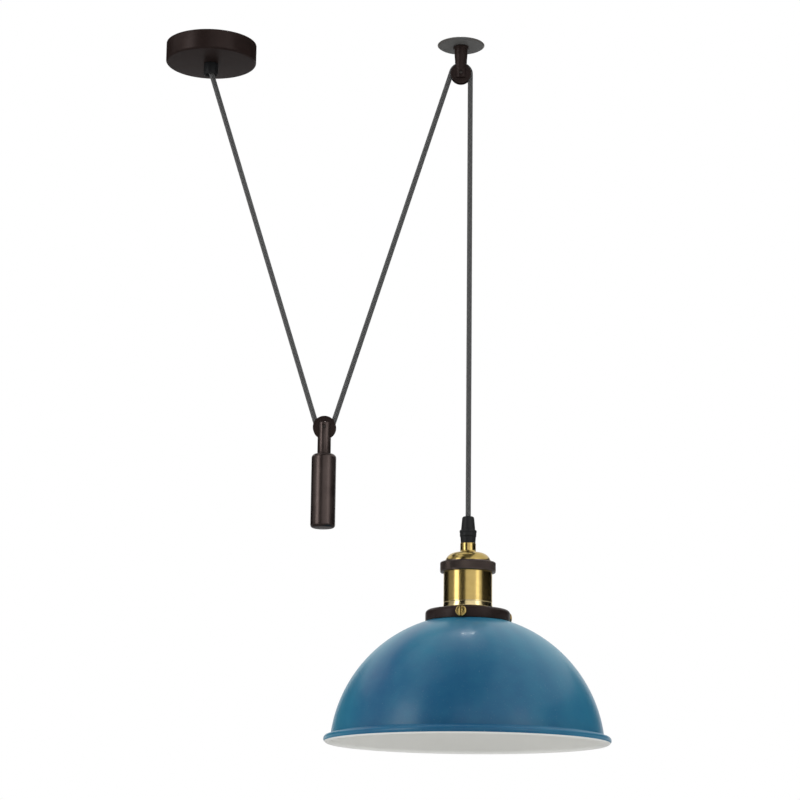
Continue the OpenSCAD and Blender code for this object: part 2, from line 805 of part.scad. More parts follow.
module holder_cap() {
    r = cap_d / 2;
    neck = cap_neck_d / 2;
    bend = neck + cap_fillet_r;
    crown = r - cap_dome_r;
    dome_mid = dome_top - cap_dome_r;
    color(brass) on_lamp_axis() difference() {
        rotate_extrude() union() {
            translate([0, dome_top]) square([neck, neck_top - dome_top]);
            difference() {
                translate([0, dome_top]) square([bend, cap_fillet_r]);
                translate([bend, dome_top + cap_fillet_r]) circle(cap_fillet_r);
            }
            translate([0, dome_mid]) square([crown, cap_dome_r]);
            intersection() {
                translate([crown, dome_mid]) circle(cap_dome_r);
                translate([0, dome_mid]) square([r, cap_dome_r]);
            }
            translate([0, cap_low]) square([r, dome_mid - cap_low]);
            translate([0, cap_low]) square([sleeve_d / 2 - 0.2, brass_wall]);
        }
        rotate_extrude() union() {
            translate([0, cap_low - 1]) square([r - brass_wall, dome_mid - cap_low + 1]);
            translate([0, dome_mid]) square([crown, cap_dome_r - brass_wall]);
            intersection() {
                translate([crown, dome_mid]) circle(cap_dome_r - brass_wall);
                translate([0, dome_mid]) square([r, cap_dome_r]);
            }
        }
        rod(nipple_r + thread_fit, dome_top - 2, neck_top + 1);
    }
}

module knurled_ring() {
    color(bronze) on_lamp_axis() difference() {
        rotate_extrude() polygon([
            [0, ring_top], [ring_d / 2 - ring_bevel, ring_top], [ring_d / 2, ring_top - ring_bevel],
            [ring_d / 2, ring_low + ring_bevel], [ring_d / 2 - ring_bevel, ring_low], [0, ring_low]
        ]);
        rod(cap_d / 2 + 0.2, ring_low - 1, ring_top + 1);
        rod(sleeve_d / 2 + 0.2, ring_low - 1, ring_top - ring_lip);
    }
}

module holder_sleeve() {
    r = sleeve_d / 2;
    color(brass) on_lamp_axis() difference() {
        union() {
            rod(r, sleeve_low, cap_low);
            rotate_extrude() polygon([
                [0, sleeve_low + bead_h + 0.4], [r, sleeve_low + bead_h + 0.4],
                [r + bead_step, sleeve_low + bead_h], [r + bead_step, sleeve_low], [0, sleeve_low]
            ]);
        }
        rod(r - brass_wall, sleeve_low + brass_wall, cap_low + 1);
        rod(hole_r, sleeve_low - 1, sleeve_low + brass_wall + 1);
    }
}

module porcelain_core() {
    color(porcelain) on_lamp_axis() difference() {
        union() {
            rod(core_r, sleeve_low + brass_wall, core_top);
            rod(skirt_r, core_low, sleeve_low + brass_wall + eps);
        }
        rod(socket_d / 2 + shell_wall + thread_fit, core_low - 1, socket_top);
    }
}

module socket_terminals() {
    color(brass) on_lamp_axis() for (side = [-1, 1])
        translate([side * post_x, 0, core_top]) difference() {
            translate([-post_w / 2, -post_depth / 2, 0]) cube([post_w, post_depth, post_h]);
            translate([0, -post_depth / 2 - 1, post_h / 2]) rotate([-90, 0, 0])
                cylinder(r = post_bore_r, h = 4);
        }
}

module socket_terminal_screws() {
    color(steel) on_lamp_axis() for (side = [-1, 1])
        translate([side * post_x, -post_depth / 2, core_top + post_h / 2]) rotate([90, 0, 0]) {
            slotted_head(post_head_r, 1.6, 0.7);
            translate([0, 0, -2.8]) cylinder(r = post_bore_r - thread_fit, h = 2.8 + eps);
        }
}

module socket_shell() {
    color(brass) on_lamp_axis()
        band(socket_d / 2 + shell_wall, socket_d / 2, shell_low, shell_low + shell_l);
}

module centre_contact() {
    color(brass) on_lamp_axis() translate([0, 3, socket_top]) rotate([90, 0, 0])
        linear_extrude(6) polygon([
            [-8, 0], [2, 0], [2.4, -0.8], [-4.5, -4.6], [-4.8, -4.1], [1.2, -0.6], [-8, -0.6]
        ]);
}

// ---- Lamp: shade and its holder

// The shade holder's outer form, or with a shrink the space in it
module gallery_solid(shrink) {
    r = gallery_ro - shrink;
    edge = gallery_r - shrink;
    top = shoulder_z - shrink;
    low = gallery_low - 2 * shrink;
    rotate_extrude() union() {
        translate([0, low]) square([r, top - edge - low]);
        translate([0, top - edge - eps]) square([r - edge, edge + eps]);
        translate([r - edge, top - edge]) circle(edge);
    }
    rotate_extrude() polygon([
        [0, gallery_top - shrink], [seat_d / 2 - shrink, gallery_top - shrink],
        [seat_d / 2 - shrink, deck_z - shrink], [r - edge - 1, top - 0.1], [0, top - 1]
    ]);
}

module each_thumb() {
    for (i = [0 : thumb_count - 1])
        rotate([0, 0, -90 - thumb_turn + i * 360 / thumb_count])
            translate([0, 0, thumb_z]) rotate([0, 90, 0]) children();
}

module shade_holder() {
    color(bronze) on_lamp_axis() difference() {
        gallery_solid(0);
        gallery_solid(gallery_wall);
        rod(hole_r, gallery_low, gallery_top + 1);
        each_thumb() translate([0, 0, neck_r]) cylinder(r = thumb_r + thread_fit, h = 9);
    }
}

module lock_ring() {
    top = gallery_top - gallery_wall;
    color(black_plastic) on_lamp_axis() difference() {
        union() {
            rod(lock_r, top - lock_flange, top);
            rod(lock_r - 2.5, top - lock_t, top - lock_flange + eps);
        }
        rod(skirt_r + thread_fit, top - lock_t - 1, top + 1);
        for (i = [0 : lock_notches - 1])
            rotate([0, 0, 360 * (i + 0.5) / lock_notches])
                translate([lock_r - lock_notch_in, -lock_notch_w / 2, top - lock_t - 1])
                    cube([lock_notch_in + 1, lock_notch_w, lock_t - lock_flange]);
    }
}

module shade_screws() {
    tip = neck_r + 0.3;
    color(brass) on_lamp_axis() each_thumb() {
        translate([0, 0, tip]) cylinder(r = thumb_r, h = gallery_ro - tip + eps);
        translate([0, 0, gallery_ro]) slotted_head(head_d / 2, head_t, 1.4);
    }
}

module shade() {
    inner_r = dome_r - shade_wall;
    neck_foot = dome_z + sqrt(pow(inner_r, 2) - pow(neck_r, 2));
    color(enamel) on_lamp_axis() difference() {
        rotate_extrude() union() {
            difference() {
                intersection() {
                    translate([0, dome_z]) circle(dome_r, $fn = 256);
                    translate([0, roll_centre[1]]) square([dome_r + 1, dome_r + 1]);
                }
                translate([0, dome_z]) circle(inner_r, $fn = 256);
                translate([-1, dome_z]) square([neck_r - shade_wall + 1, dome_r + 1]);
            }
            translate(roll_centre) circle(roll_r);
            translate([min(dome_foot_r - shade_wall, roll_centre[0]), roll_centre[1]])
                square([abs(roll_centre[0] - dome_foot_r) + shade_wall, shade_wall]);
            translate([neck_r - shade_wall, neck_foot])
                square([shade_wall, lip_low + shade_wall - neck_foot]);
            translate([neck_r - shade_wall, lip_low]) square([shade_wall + shade_lip, shade_wall]);
        }
        rod(neck_r - shade_wall, dome_z, lip_low + 2);
    }
}

// ---- Cord

module wrap(line_r, from, to) {
    rotate([0, 0, from]) rotate_extrude(angle = to - from) translate([line_r, 0]) circle(cord_r);
}

module cord_rose_end() {
    color(braid) rod(cord_r, exit[1], rose_cord_top);
}

module cord_left_fall() {
    color(braid) tube(run(exit, left_end, 0, cord_split), cord_r, cord_sides, [0, 1, 0],
        first = [0, 0, -1]);
}

module cord_weight_wrap() {
    color(braid) at_weight() wrap(weight_cord_r, 180 + left_lean, 360 - right_lean);
}

module cord_right_fall() {
    color(braid) tube(run(right_start, right_end, cord_split, cord_split), cord_r, cord_sides,
        [0, 1, 0]);
}

module cord_hook_wrap() {
    color(braid) at_hook() wrap(hook_cord_r, 0, 180 - right_lean);
}

module cord_drop() {
    color(braid) tube(run(drop_start, drop_end, cord_split, 0), cord_r, cord_sides, [0, 1, 0]);
}

module cord_lamp_end() {
    color(braid) on_lamp_axis() rod(cord_r, lamp_cord_low, grip_top);
}

rose_cover();
rose_bracket();
cover_screws();
terminal_block();
terminal_inserts();
terminal_screws();
block_screw();
earth_screw();
rose_nipple();
rose_nut();
rose_cord_grip();
rose_grip_screw();
rose_leads();
hook_plate();
hook_fork();
hook_axle();
hook_wheel();
weight_body();
weight_fork();
weight_axle();
weight_wheel();
lamp_grip_cap();
lamp_grip_body();
lamp_nipple();
lamp_nut();
earth_tag();
lamp_leads();
holder_cap();
knurled_ring();
holder_sleeve();
porcelain_core();
socket_terminals();
socket_terminal_screws();
socket_shell();
centre_contact();
shade_holder();
lock_ring();
shade_screws();
shade();
cord_rose_end();
cord_left_fall();
cord_weight_wrap();
cord_right_fall();
cord_hook_wrap();
cord_drop();
cord_lamp_end();
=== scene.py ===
import math

import bmesh
import bpy
import numpy as np
from mathutils import Matrix, Vector


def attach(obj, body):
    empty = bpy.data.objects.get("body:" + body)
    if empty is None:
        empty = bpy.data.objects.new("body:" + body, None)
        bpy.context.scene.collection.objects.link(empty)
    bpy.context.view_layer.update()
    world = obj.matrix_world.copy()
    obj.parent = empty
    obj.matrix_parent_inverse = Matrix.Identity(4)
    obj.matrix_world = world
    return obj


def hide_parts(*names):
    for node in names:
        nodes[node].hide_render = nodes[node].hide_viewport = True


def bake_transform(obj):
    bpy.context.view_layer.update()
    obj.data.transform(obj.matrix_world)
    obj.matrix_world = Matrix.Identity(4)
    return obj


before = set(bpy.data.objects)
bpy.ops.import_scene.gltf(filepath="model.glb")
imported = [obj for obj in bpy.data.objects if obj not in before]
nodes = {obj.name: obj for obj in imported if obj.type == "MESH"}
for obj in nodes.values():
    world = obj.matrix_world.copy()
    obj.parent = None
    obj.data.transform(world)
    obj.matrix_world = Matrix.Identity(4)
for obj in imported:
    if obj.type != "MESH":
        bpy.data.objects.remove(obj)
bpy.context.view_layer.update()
mm = 0.001  # every size below is in millimetres, but for the camera's and the studio's
hookX, weightX, lampX = 278, 133.75, 288.5  # the three hanging axes, mm from the rose
smoothAngle = math.radians(32)
bevelAngle = math.radians(42)


# A shader socket that can be added, multiplied and compared
class Sock:
    def __init__(self, paint, out):
        self.paint, self.out = paint, out

    def math(self, kind, *others):
        return self.paint.node("ShaderNodeMath", {"operation": kind}, dict(enumerate((self, *others))))

    def __add__(self, b):
        return self.math("ADD", b)

    def __sub__(self, b):
        return self.math("SUBTRACT", b)

    def __mul__(self, b):
        return self.math("MULTIPLY", b)

    def __truediv__(self, b):
        return self.math("DIVIDE", b)

    def __radd__(self, b):
        return self.math("ADD", b)

    def __rmul__(self, b):
        return self.math("MULTIPLY", b)

    def __rsub__(self, b):
        return (self * -1).math("ADD", b)

    def __gt__(self, b):
        return self.math("GREATER_THAN", b)

    def __lt__(self, b):
        return self.math("LESS_THAN", b)

    def floor(self):
        return self.math("FLOOR")

    def part(self):
        return self.math("FRACT")

    def clamp(self):
        return self.math("MAXIMUM", 0).math("MINIMUM", 1)


# A material and its nodes
class Paint:
    def __init__(self, name):
        self.mat = bpy.data.materials.new(name)
        self.mat.use_nodes = True
        self.tree = self.mat.node_tree
        self.tree.nodes.clear()

    # one node: its settings go first, then the values or links of its sockets
    def node(self, kind, settings=None, inputs=None, out=0):
        made = self.tree.nodes.new(kind)
        for key, value in (settings or {}).items():
            setattr(made, key, value)
        for key, value in (inputs or {}).items():
            if isinstance(value, Sock):
                self.tree.links.new(value.out, made.inputs[key])
            else:
                made.inputs[key].default_value = value
        return Sock(self, made.outputs[out])

    def coords(self):
        return self.node("ShaderNodeTexCoord", out="Object")

    def noise(self, scale, detail=3, rough=0.5, vector=None, stretch=(1, 1, 1)):
        where = self.node("ShaderNodeVectorMath", {"operation": "MULTIPLY"},
                          {0: vector or self.coords(), 1: stretch})
        return self.node("ShaderNodeTexNoise", {}, {"Vector": where, "Scale": scale,
                         "Detail": detail, "Roughness": rough})

    def mix(self, factor, a, b):
        a, b = ((*c, 1) if isinstance(c, tuple) else c for c in (a, b))
        return self.node("ShaderNodeMix", {"data_type": "RGBA"}, {0: factor, 6: a, 7: b}, out=2)

    def bump(self, height, distance, strength):
        return self.node("ShaderNodeBump", {}, {"Height": height, "Distance": distance, "Strength": strength})

    # X, Y and Z of a vector socket
    def split(self, socket):
        made = self.tree.nodes.new("ShaderNodeSeparateXYZ")
        self.tree.links.new(socket.out, made.inputs[0])
        return [Sock(self, o) for o in made.outputs]

    # how far each point lies from the lamp's axis, with its X and Y from there and its height
    def aroundLamp(self):
        x, y, z = self.split(self.coords())
        x = x - lampX * mm
        return x, y, z, (x * x + y * y).math("POWER", 0.5)

    # the Principled shader, with its sockets named with _ for a space
    def finish(self, **inputs):
        named = {k.replace("_", " "): (*v, 1) if isinstance(v, tuple) and len(v) == 3 else v
                 for k, v in inputs.items()}
        shader = self.node("ShaderNodeBsdfPrincipled", {}, named)
        end = self.tree.nodes.new("ShaderNodeOutputMaterial")
        self.tree.links.new(shader.out, end.inputs["Surface"])
        return self.mat


# A corner list of (r, z) or (r, z, fillet), with each fillet turned into an arc
def rounded(corners, steps=5):
    out, count = [], len(corners)
    for i, corner in enumerate(corners):
        p = np.array(corner[:2], float)
        if len(corner) < 3:
            out.append(tuple(p))
            continue
        a = np.array(corners[i - 1][:2], float) - p
        b = np.array(corners[(i + 1) % count][:2], float) - p
        la, lb = np.linalg.norm(a), np.linalg.norm(b)
        half = math.acos(np.clip(a @ b / (la * lb), -1, 1)) / 2
        reach = min(corner[2] / math.tan(half), la * 0.49, lb * 0.49)  # never past the middle of a side
        mid = (a / la + b / lb) / np.linalg.norm(a / la + b / lb)
        centre = p + mid * reach / math.cos(half)
        start, stop = p + a / la * reach - centre, p + b / lb * reach - centre
        sweep = math.atan2(start[0] * stop[1] - start[1] * stop[0], start @ stop)
        for k in range(steps + 1):
            t = sweep * k / steps
            out.append((centre[0] + start[0] * math.cos(t) - start[1] * math.sin(t),
                        centre[1] + start[0] * math.sin(t) + start[1] * math.cos(t)))
    return out


def arc(r0, z0, radius, first, last, steps):
    return [(r0 + radius * math.cos(math.radians(first + (last - first) * k / steps)),
             z0 + radius * math.sin(math.radians(first + (last - first) * k / steps)))
            for k in range(steps + 1)]


def straight(a, b, count):  # points on a straight line, without its two ends
    return [(a[0] + (b[0] - a[0]) * k / count, a[1] + (b[1] - a[1]) * k / count)
            for k in range(1, count)]


def newObject(name, verts, faces, paints, paintOf=None):
    mesh = bpy.data.meshes.new(name)
    mesh.from_pydata([tuple(v) for v in verts], [], faces)
    obj = bpy.data.objects.new(name, mesh)
    bpy.context.scene.collection.objects.link(obj)
    for paint in paints:
        mesh.materials.append(paint)
    if paintOf is not None:
        mesh.polygons.foreach_set("material_index", np.array(paintOf, np.int32))
    return obj


def smooth(obj):
    mesh = obj.data
    mesh.polygons.foreach_set("use_smooth", np.ones(len(mesh.polygons), bool))
    mesh.set_sharp_from_angle(angle=smoothAngle)
    mesh.update()


def settle(obj):  # faces outwards
    bm = bmesh.new()
    bm.from_mesh(obj.data)
    bmesh.ops.remove_doubles(bm, verts=bm.verts, dist=1e-7)
    bmesh.ops.recalc_face_normals(bm, faces=bm.faces)
    bm.to_mesh(obj.data)
    bm.free()
    return obj


# A closed section turned about an upright axis at x, or about a level one through (x, z).
# bend changes the radius of points by their radius, height and angle. bands gives a paint number
# for each stretch of the section.
def turned(name, section, x, paints, segments=128, level=None, bend=None, bands=None):
    ring = np.array(section, float)
    count = len(ring)
    turn = np.arange(segments) * 2 * math.pi / segments
    r = np.repeat(ring[:, :1], segments, 1)
    z = np.repeat(ring[:, 1:], segments, 1)
    t = np.repeat(turn[None, :], count, 0)
    if bend:
        r = bend(r, z, t)
    if level is None:
        verts = np.stack([x + r * np.cos(t), r * np.sin(t), z], 2)
    else:
        verts = np.stack([x + r * np.cos(t), z, level + r * np.sin(t)], 2)
    faces, paintOf = [], []
    for i in range(count):
        a, b = i * segments, (i + 1) % count * segments
        if ring[i][0] < 1e-6 and ring[(i + 1) % count][0] < 1e-6:
            continue
        for j in range(segments):
            k = (j + 1) % segments
            if ring[i][0] < 1e-6:
                faces.append((a, b + k, b + j))
            elif ring[(i + 1) % count][0] < 1e-6:
                faces.append((a + j, a + k, b))
            else:
                faces.append((a + j, a + k, b + k, b + j))
            paintOf.append(bands[i] if bands else 0)
    verts = verts.reshape(-1, 3)  # only those that a face uses are kept
    used = np.unique(np.concatenate([np.array(f) for f in faces]))
    index = {int(u): n for n, u in enumerate(used)}
    faces = [tuple(index[v] for v in f) for f in faces]
    return settle(newObject(name, verts[used] * mm, faces, paints, paintOf))


def block(low, high):  # a box to cut with
    (x0, y0, z0), (x1, y1, z1) = low, high
    verts = [(x, y, z) for x in (x0, x1) for y in (y0, y1) for z in (z0, z1)]
    faces = [(0, 1, 3, 2), (4, 6, 7, 5), (0, 4, 5, 1), (2, 3, 7, 6), (0, 2, 6, 4), (1, 5, 7, 3)]
    return settle(newObject("cutter", np.array(verts) * mm, faces, []))


# A rod to cut with, or a cone where its far end has a radius of its own
def rodCutter(centre, radius, half, axis="Y", farRadius=None, sides=96):
    bm = bmesh.new()
    end = radius if farRadius is None else farRadius
    bmesh.ops.create_cone(bm, cap_ends=True, segments=sides, radius1=radius * mm,
                          radius2=end * mm, depth=2 * half * mm)
    turn = {"Y": Matrix.Rotation(math.pi / 2, 4, "X"), "X": Matrix.Rotation(math.pi / 2, 4, "Y"),
            "-X": Matrix.Rotation(-math.pi / 2, 4, "Y"), "Z": Matrix.Identity(4)}[axis]
    bmesh.ops.transform(bm, verts=bm.verts, matrix=Matrix.Translation(Vector(centre) * mm) @ turn)
    mesh = bpy.data.meshes.new("cutter")
    bm.to_mesh(mesh)
    bm.free()
    obj = bpy.data.objects.new("cutter", mesh)
    bpy.context.scene.collection.objects.link(obj)
    return obj


def bake(obj):  # applies the modifiers
    done = bpy.data.meshes.new_from_object(obj.evaluated_get(bpy.context.evaluated_depsgraph_get()))
    obj.modifiers.clear()
    obj.data = done


def cut(obj, cutters, edge):  # takes the cutters away and breaks the sharp edges
    for cutter in cutters:
        mod = obj.modifiers.new("cut", "BOOLEAN")
        mod.operation, mod.object, mod.solver = "DIFFERENCE", cutter, "EXACT"
    bake(obj)
    for cutter in cutters:
        bpy.data.objects.remove(cutter)
    if edge:
        mod = obj.modifiers.new("edges", "BEVEL")
        mod.width, mod.segments, mod.limit_method = edge * mm, 2, "ANGLE"
        mod.angle_limit, mod.harden_normals = bevelAngle, False
        bake(obj)
    return obj


def place(obj, body, node):
    smooth(obj)
    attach(obj, body)
    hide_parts(node)


shot = {  # the camera, solved from the photo's ellipses and upright lines
    "place": (0.2958, -2.5001, -0.9559),
    "pitch": 12.438, "yaw": -1.8615, "roll": 0.6444,  # degrees
    "lens": 107.16, "sensor": 36,
}


def makeCamera():
    pitch, yaw, roll = (math.radians(shot[k]) for k in ("pitch", "yaw", "roll"))
    ahead = Vector((math.sin(yaw) * math.cos(pitch), math.cos(yaw) * math.cos(pitch), math.sin(pitch)))
    level = Vector((math.cos(yaw), -math.sin(yaw), 0))
    upright = level.cross(ahead)
    side = level * math.cos(roll) + upright * math.sin(roll)
    up = upright * math.cos(roll) - level * math.sin(roll)
    data = bpy.data.cameras.new("camera")
    data.lens, data.sensor_width = shot["lens"], shot["sensor"]
    data.clip_start, data.clip_end = 0.1, 50
    camera = bpy.data.objects.new("camera", data)
    bpy.context.scene.collection.objects.link(camera)
    aim = Matrix((side, up, -ahead)).transposed().to_4x4()
    camera.matrix_world = Matrix.Translation(shot["place"]) @ aim
    bpy.context.scene.camera = camera


makeCamera()
print("camera")


# One braided cord, in seven lengths that meet end to end
cordSize = {
    "diameter": 5.6, "strands": 16, "sides": 64, "ringStep": 0.3,
    "relief": 0.14, "sunk": 0.6, "dip": 0.4,  # how far a strand stands out, lies inside and dives under
    "dark": (0.018, 0.019, 0.020), "pale": (0.30, 0.30, 0.295), "gapShade": (0.012, 0.012, 0.013),
    "paleStrands": (1, 4, 6),  # of eight
    "exit": (0, -31), "hook": (hookX, -34), "weight": (weightX, -435),
    "hookR": 10.5, "weightR": 7.5, "gripTop": -531, "roseTop": -17, "lampLow": -575.9,
}


def braidPaint():  # strands that run both ways round and pass over and under each other
    paint = Paint("braid")
    u, v, _ = paint.split(paint.node("ShaderNodeUVMap", {"uv_map": "braidMap"}))
    p, q = u + v, u - v
    over = ((p.floor() + q.floor()) * 0.5).part() > 0.25
    own = p.floor() * (1 - over) + (q.floor() + 40) * over
    across = p.part() * (1 - over) + q.part() * over
    along = q * (1 - over) + p * over
    strand = (own * 0.125).part() * 8
    pale = sum((strand.math("COMPARE", n, 0.5) for n in cordSize["paleStrands"]), 0)
    yarns = (across * 3 + along * 0.35).part()
    thread = 1 - (yarns - 0.5).math("ABSOLUTE") * 2
    edge = 1 - (across - 0.5).math("ABSOLUTE") * 2
    fuzz = paint.noise(900, 2)
    tone = (pale * 0.6 + fuzz * 0.5 - 0.12).clamp()
    colour = paint.mix(tone, cordSize["dark"], cordSize["pale"])
    # painted shade: darker between the yarns and at each strand's edges
    shade = (thread * 0.55 + edge * 0.45 + 0.25).clamp()
    colour = paint.mix(shade, cordSize["gapShade"], colour)
    height = thread * 0.5 + fuzz * 0.4
    return paint.finish(Base_Color=colour, Roughness=fuzz * 0.2 + 0.62, Sheen_Weight=0.25,
                        Sheen_Roughness=0.5, Normal=paint.bump(height, 0.00012, 0.8))


def cordTube(name, path, startAlong):
    c = cordSize
    path = np.array(path, float)
    count, sides = len(path), c["sides"]
    ahead = np.gradient(path, axis=0)
    ahead /= np.linalg.norm(ahead, axis=1)[:, None]
    side = np.array((0.0, 1.0, 0.0))
    other = np.cross(ahead, side)
    along = np.concatenate([[0], np.cumsum(np.linalg.norm(np.diff(path, axis=0), axis=1))]) + startAlong
    turn = np.arange(sides + 1) * 2 * math.pi / sides
    u = np.arange(sides + 1) * c["strands"] / sides
    v = along / (math.pi * c["diameter"] / c["strands"])
    u2, v2 = np.meshgrid(u, v)
    p, q = u2 + v2, u2 - v2
    over = (np.floor(p) + np.floor(q)) % 2 > 0.5
    across = np.where(over, q % 1, p % 1) * 2 - 1
    run = np.where(over, p % 1, q % 1) * 2 - 1
    relief = (1 - across ** 2) * (1 - c["dip"] * run ** 2)
    r = c["diameter"] / 2 - c["relief"] * c["sunk"] + c["relief"] * relief
    ring = path[:, None, :] + r[:, :, None] * (
        np.cos(turn)[None, :, None] * other[:, None, :] + np.sin(turn)[None, :, None] * side[None, None, :])
    verts = ring[:, :sides].reshape(-1, 3)
    i, j = np.meshgrid(np.arange(count - 1), np.arange(sides), indexing="ij")
    k = (j + 1) % sides
    here, there = i * sides, (i + 1) * sides
    faces = np.stack([here + j, here + k, there + k, there + j], 2).reshape(-1, 4)
    mapU = np.stack([j, j + 1, j + 1, j], 2).reshape(-1) * c["strands"] / sides
    mapV = v[np.stack([i, i, i + 1, i + 1], 2).reshape(-1)]
    capA, capB = tuple(range(sides))[::-1], tuple((count - 1) * sides + n for n in range(sides))
    mesh = bpy.data.meshes.new(name)
    mesh.from_pydata((verts * mm).tolist(), [], faces.tolist() + [capA, capB])
    layer = mesh.uv_layers.new(name="braidMap")
    flat = np.zeros((len(mesh.loops), 2), np.float32)
    flat[:len(mapU), 0], flat[:len(mapU), 1] = mapU, mapV
    layer.data.foreach_set("uv", flat.ravel())
    mesh.polygons.foreach_set("use_smooth", np.ones(len(mesh.polygons), bool))
    mesh.materials.append(braid)
    if mesh.polygons[0].normal.dot(mesh.polygons[0].center - Vector(path[0] * mm)) < 0:
        mesh.flip_normals()
    obj = bpy.data.objects.new(name, mesh)
    bpy.context.scene.collection.objects.link(obj)
    return obj


def line(a, b):
    a, b = np.array((a[0], 0, a[1]), float), np.array((b[0], 0, b[1]), float)
    count = max(3, round(np.linalg.norm(b - a) / cordSize["ringStep"]))
    return a + (b - a) * np.linspace(0, 1, count + 1)[:, None]


def bow(centre, radius, first, last):  # degrees from +X, towards +Z
    count = round(abs(math.radians(last - first)) * radius / cordSize["ringStep"])
    t = np.radians(np.linspace(first, last, count + 1))
    return np.stack([centre[0] + radius * np.cos(t), 0 * t, centre[1] + radius * np.sin(t)], 1)


def stretch(obj, a, b, path):  # bakes the fall's place into its mesh and reads its points
    start, end = Vector(path[0] * mm), Vector(path[-1] * mm)
    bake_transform(obj)
    co = np.zeros(len(obj.data.vertices) * 3)
    obj.data.vertices.foreach_get("co", co)


def makeCord():  # the two falls touch the pulleys where the wraps begin and end
    c = cordSize
    exitPoint, hook, weight = (np.array(c[k], float) for k in ("exit", "hook", "weight"))

    def lean(a):
        return math.atan(abs(a[0] / a[1]))

    left = lean(weight - exitPoint) - math.asin(c["weightR"] / np.linalg.norm(weight - exitPoint))
    right = lean(weight - hook) - math.asin((c["weightR"] + c["hookR"]) / np.linalg.norm(weight - hook))
    leftEnd = weight + c["weightR"] * np.array((-math.cos(left), -math.sin(left)))
    rightStart = weight + c["weightR"] * np.array((math.cos(right), -math.sin(right)))
    rightEnd = hook + c["hookR"] * np.array((-math.cos(right), math.sin(right)))
    drop = (lampX, hook[1])
    routes = {
        "cordRoseEnd": line((0, c["roseTop"]), exitPoint),
        "cordLeftFall": line(exitPoint, leftEnd),
        "cordWeightWrap": bow(weight, c["weightR"], 180 + math.degrees(left), 360 - math.degrees(right)),
        "cordRightFall": line(rightStart, rightEnd),
        "cordHookWrap": bow(hook, c["hookR"], 180 - math.degrees(right), 0),
        "cordDrop": line(drop, (lampX, c["gripTop"])),
        "cordLampEnd": line((lampX, c["gripTop"]), (lampX, c["lampLow"])),
    }
    made, along = {}, 0.0
    for name, path in routes.items():
        made[name] = cordTube(name, path, along)
        along += np.linalg.norm(np.diff(path, axis=0), axis=1).sum()
    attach(made["cordRoseEnd"], "ceiling_fittings")
    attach(made["cordWeightWrap"], "counterweight")
    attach(made["cordHookWrap"], "ceiling_fittings")
    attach(made["cordLampEnd"], "lamp")
    stretch(made["cordLeftFall"], "ceiling_fittings", "counterweight", routes["cordLeftFall"])
    stretch(made["cordRightFall"], "counterweight", "ceiling_fittings", routes["cordRightFall"])
    stretch(made["cordDrop"], "ceiling_fittings", "lamp", routes["cordDrop"])
    for piece, node in (("cordRoseEnd", "cord_rose_end"), ("cordLeftFall", "cord_left_fall"),
                        ("cordWeightWrap", "cord_weight_wrap"), ("cordRightFall", "cord_right_fall"),
                        ("cordHookWrap", "cord_hook_wrap"), ("cordDrop", "cord_drop"),
                        ("cordLampEnd", "cord_lamp_end")):
        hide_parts(node)
    for piece, length, others in (("cordLeftFall", 0.4255, ["cordRoseEnd", "cordWeightWrap"]),
                                  ("cordRightFall", 0.4258, ["cordHookWrap"]),
                                  ("cordDrop", 0.497, ["cordLampEnd"])):
        path = routes[piece] * mm
        path[::10].tolist() + [path[-1].tolist()]


braid = braidPaint()
makeCord()
print("cord")


# Lacquered bronze: grain moves its roughness, and a knurl's two radii, at its foot and its tip, set where its
# grooves get painted shade
def bronzePaint(name, deep, pale, grain=0.0, knurlShadeRadii=None, metal=0.4):
    paint = Paint(name)
    cloud = paint.noise(38, 4, 0.6)
    speck = paint.noise(1500, 2, 0.6)
    tone = (cloud * 1.3 - 0.25 + (speck - 0.5) * 0.5).clamp()
    rough = cloud * 0.14 + speck * 0.1 + 0.33 + grain
    skin = paint.bump(speck, 0.00004, 0.55)
    colour = paint.mix(tone, deep, pale)
    if knurlShadeRadii:  # painted shade: the knurl's grooves are darker than its points
        reach = paint.aroundLamp()[3]
        height = (reach - knurlShadeRadii[0] * mm) / ((knurlShadeRadii[1] - knurlShadeRadii[0]) * mm)
        colour = paint.mix(height.clamp(), (0.006, 0.004, 0.004), colour)
    return paint.finish(Base_Color=colour, Metallic=metal, Roughness=rough, Specular_IOR_Level=0.16,
                        Coat_Weight=0.06, Coat_Roughness=0.25, Normal=skin)


def brassPaint(name, rough=0.17, deep=(0.29, 0.205, 0.06), pale=(0.74, 0.55, 0.20), slotShadeFace=None):
    paint = Paint(name)
    cloud = paint.noise(30, 4, 0.6)
    lines = paint.noise(55, 3, 0.7, stretch=(1, 1, 60))
    speck = paint.noise(700, 2, 0.5)
    tone = (cloud * 0.9 + lines * 0.5 - 0.2).clamp()
    colour = paint.mix(tone, deep, pale)
    tarnishAndSlotShade = ((cloud - 0.58) * 4).clamp() * 0.35
    if slotShadeFace:  # painted shade in a screw's slot, which lies nearer the lamp's axis than its face
        reach = paint.aroundLamp()[3]
        tarnishAndSlotShade = (tarnishAndSlotShade + (reach < slotShadeFace * mm) * 0.9).clamp()
    # tarnish, with the painted shade in the screw slots
    colour = paint.mix(tarnishAndSlotShade, colour, (0.10, 0.055, 0.015))
    wear = paint.bump(lines * 0.7 + speck * 0.3, 0.00003, 0.35)
    return paint.finish(Base_Color=colour, Metallic=1.0,
                        Roughness=lines * 0.1 + cloud * 0.08 + rough - 0.05, Normal=wear)


def plasticPaint(name, colour, rough=0.42):
    paint = Paint(name)
    cloud, grain = paint.noise(60, 3), paint.noise(1400, 2, 0.6)
    low, high = (tuple(c * k for c in colour) for k in (0.75, 1.25))
    return paint.finish(Base_Color=paint.mix(cloud, low, high), Roughness=cloud * 0.12 + rough + grain * 0.08,
                        Specular_IOR_Level=0.3, Normal=paint.bump(grain, 0.00003, 0.5))


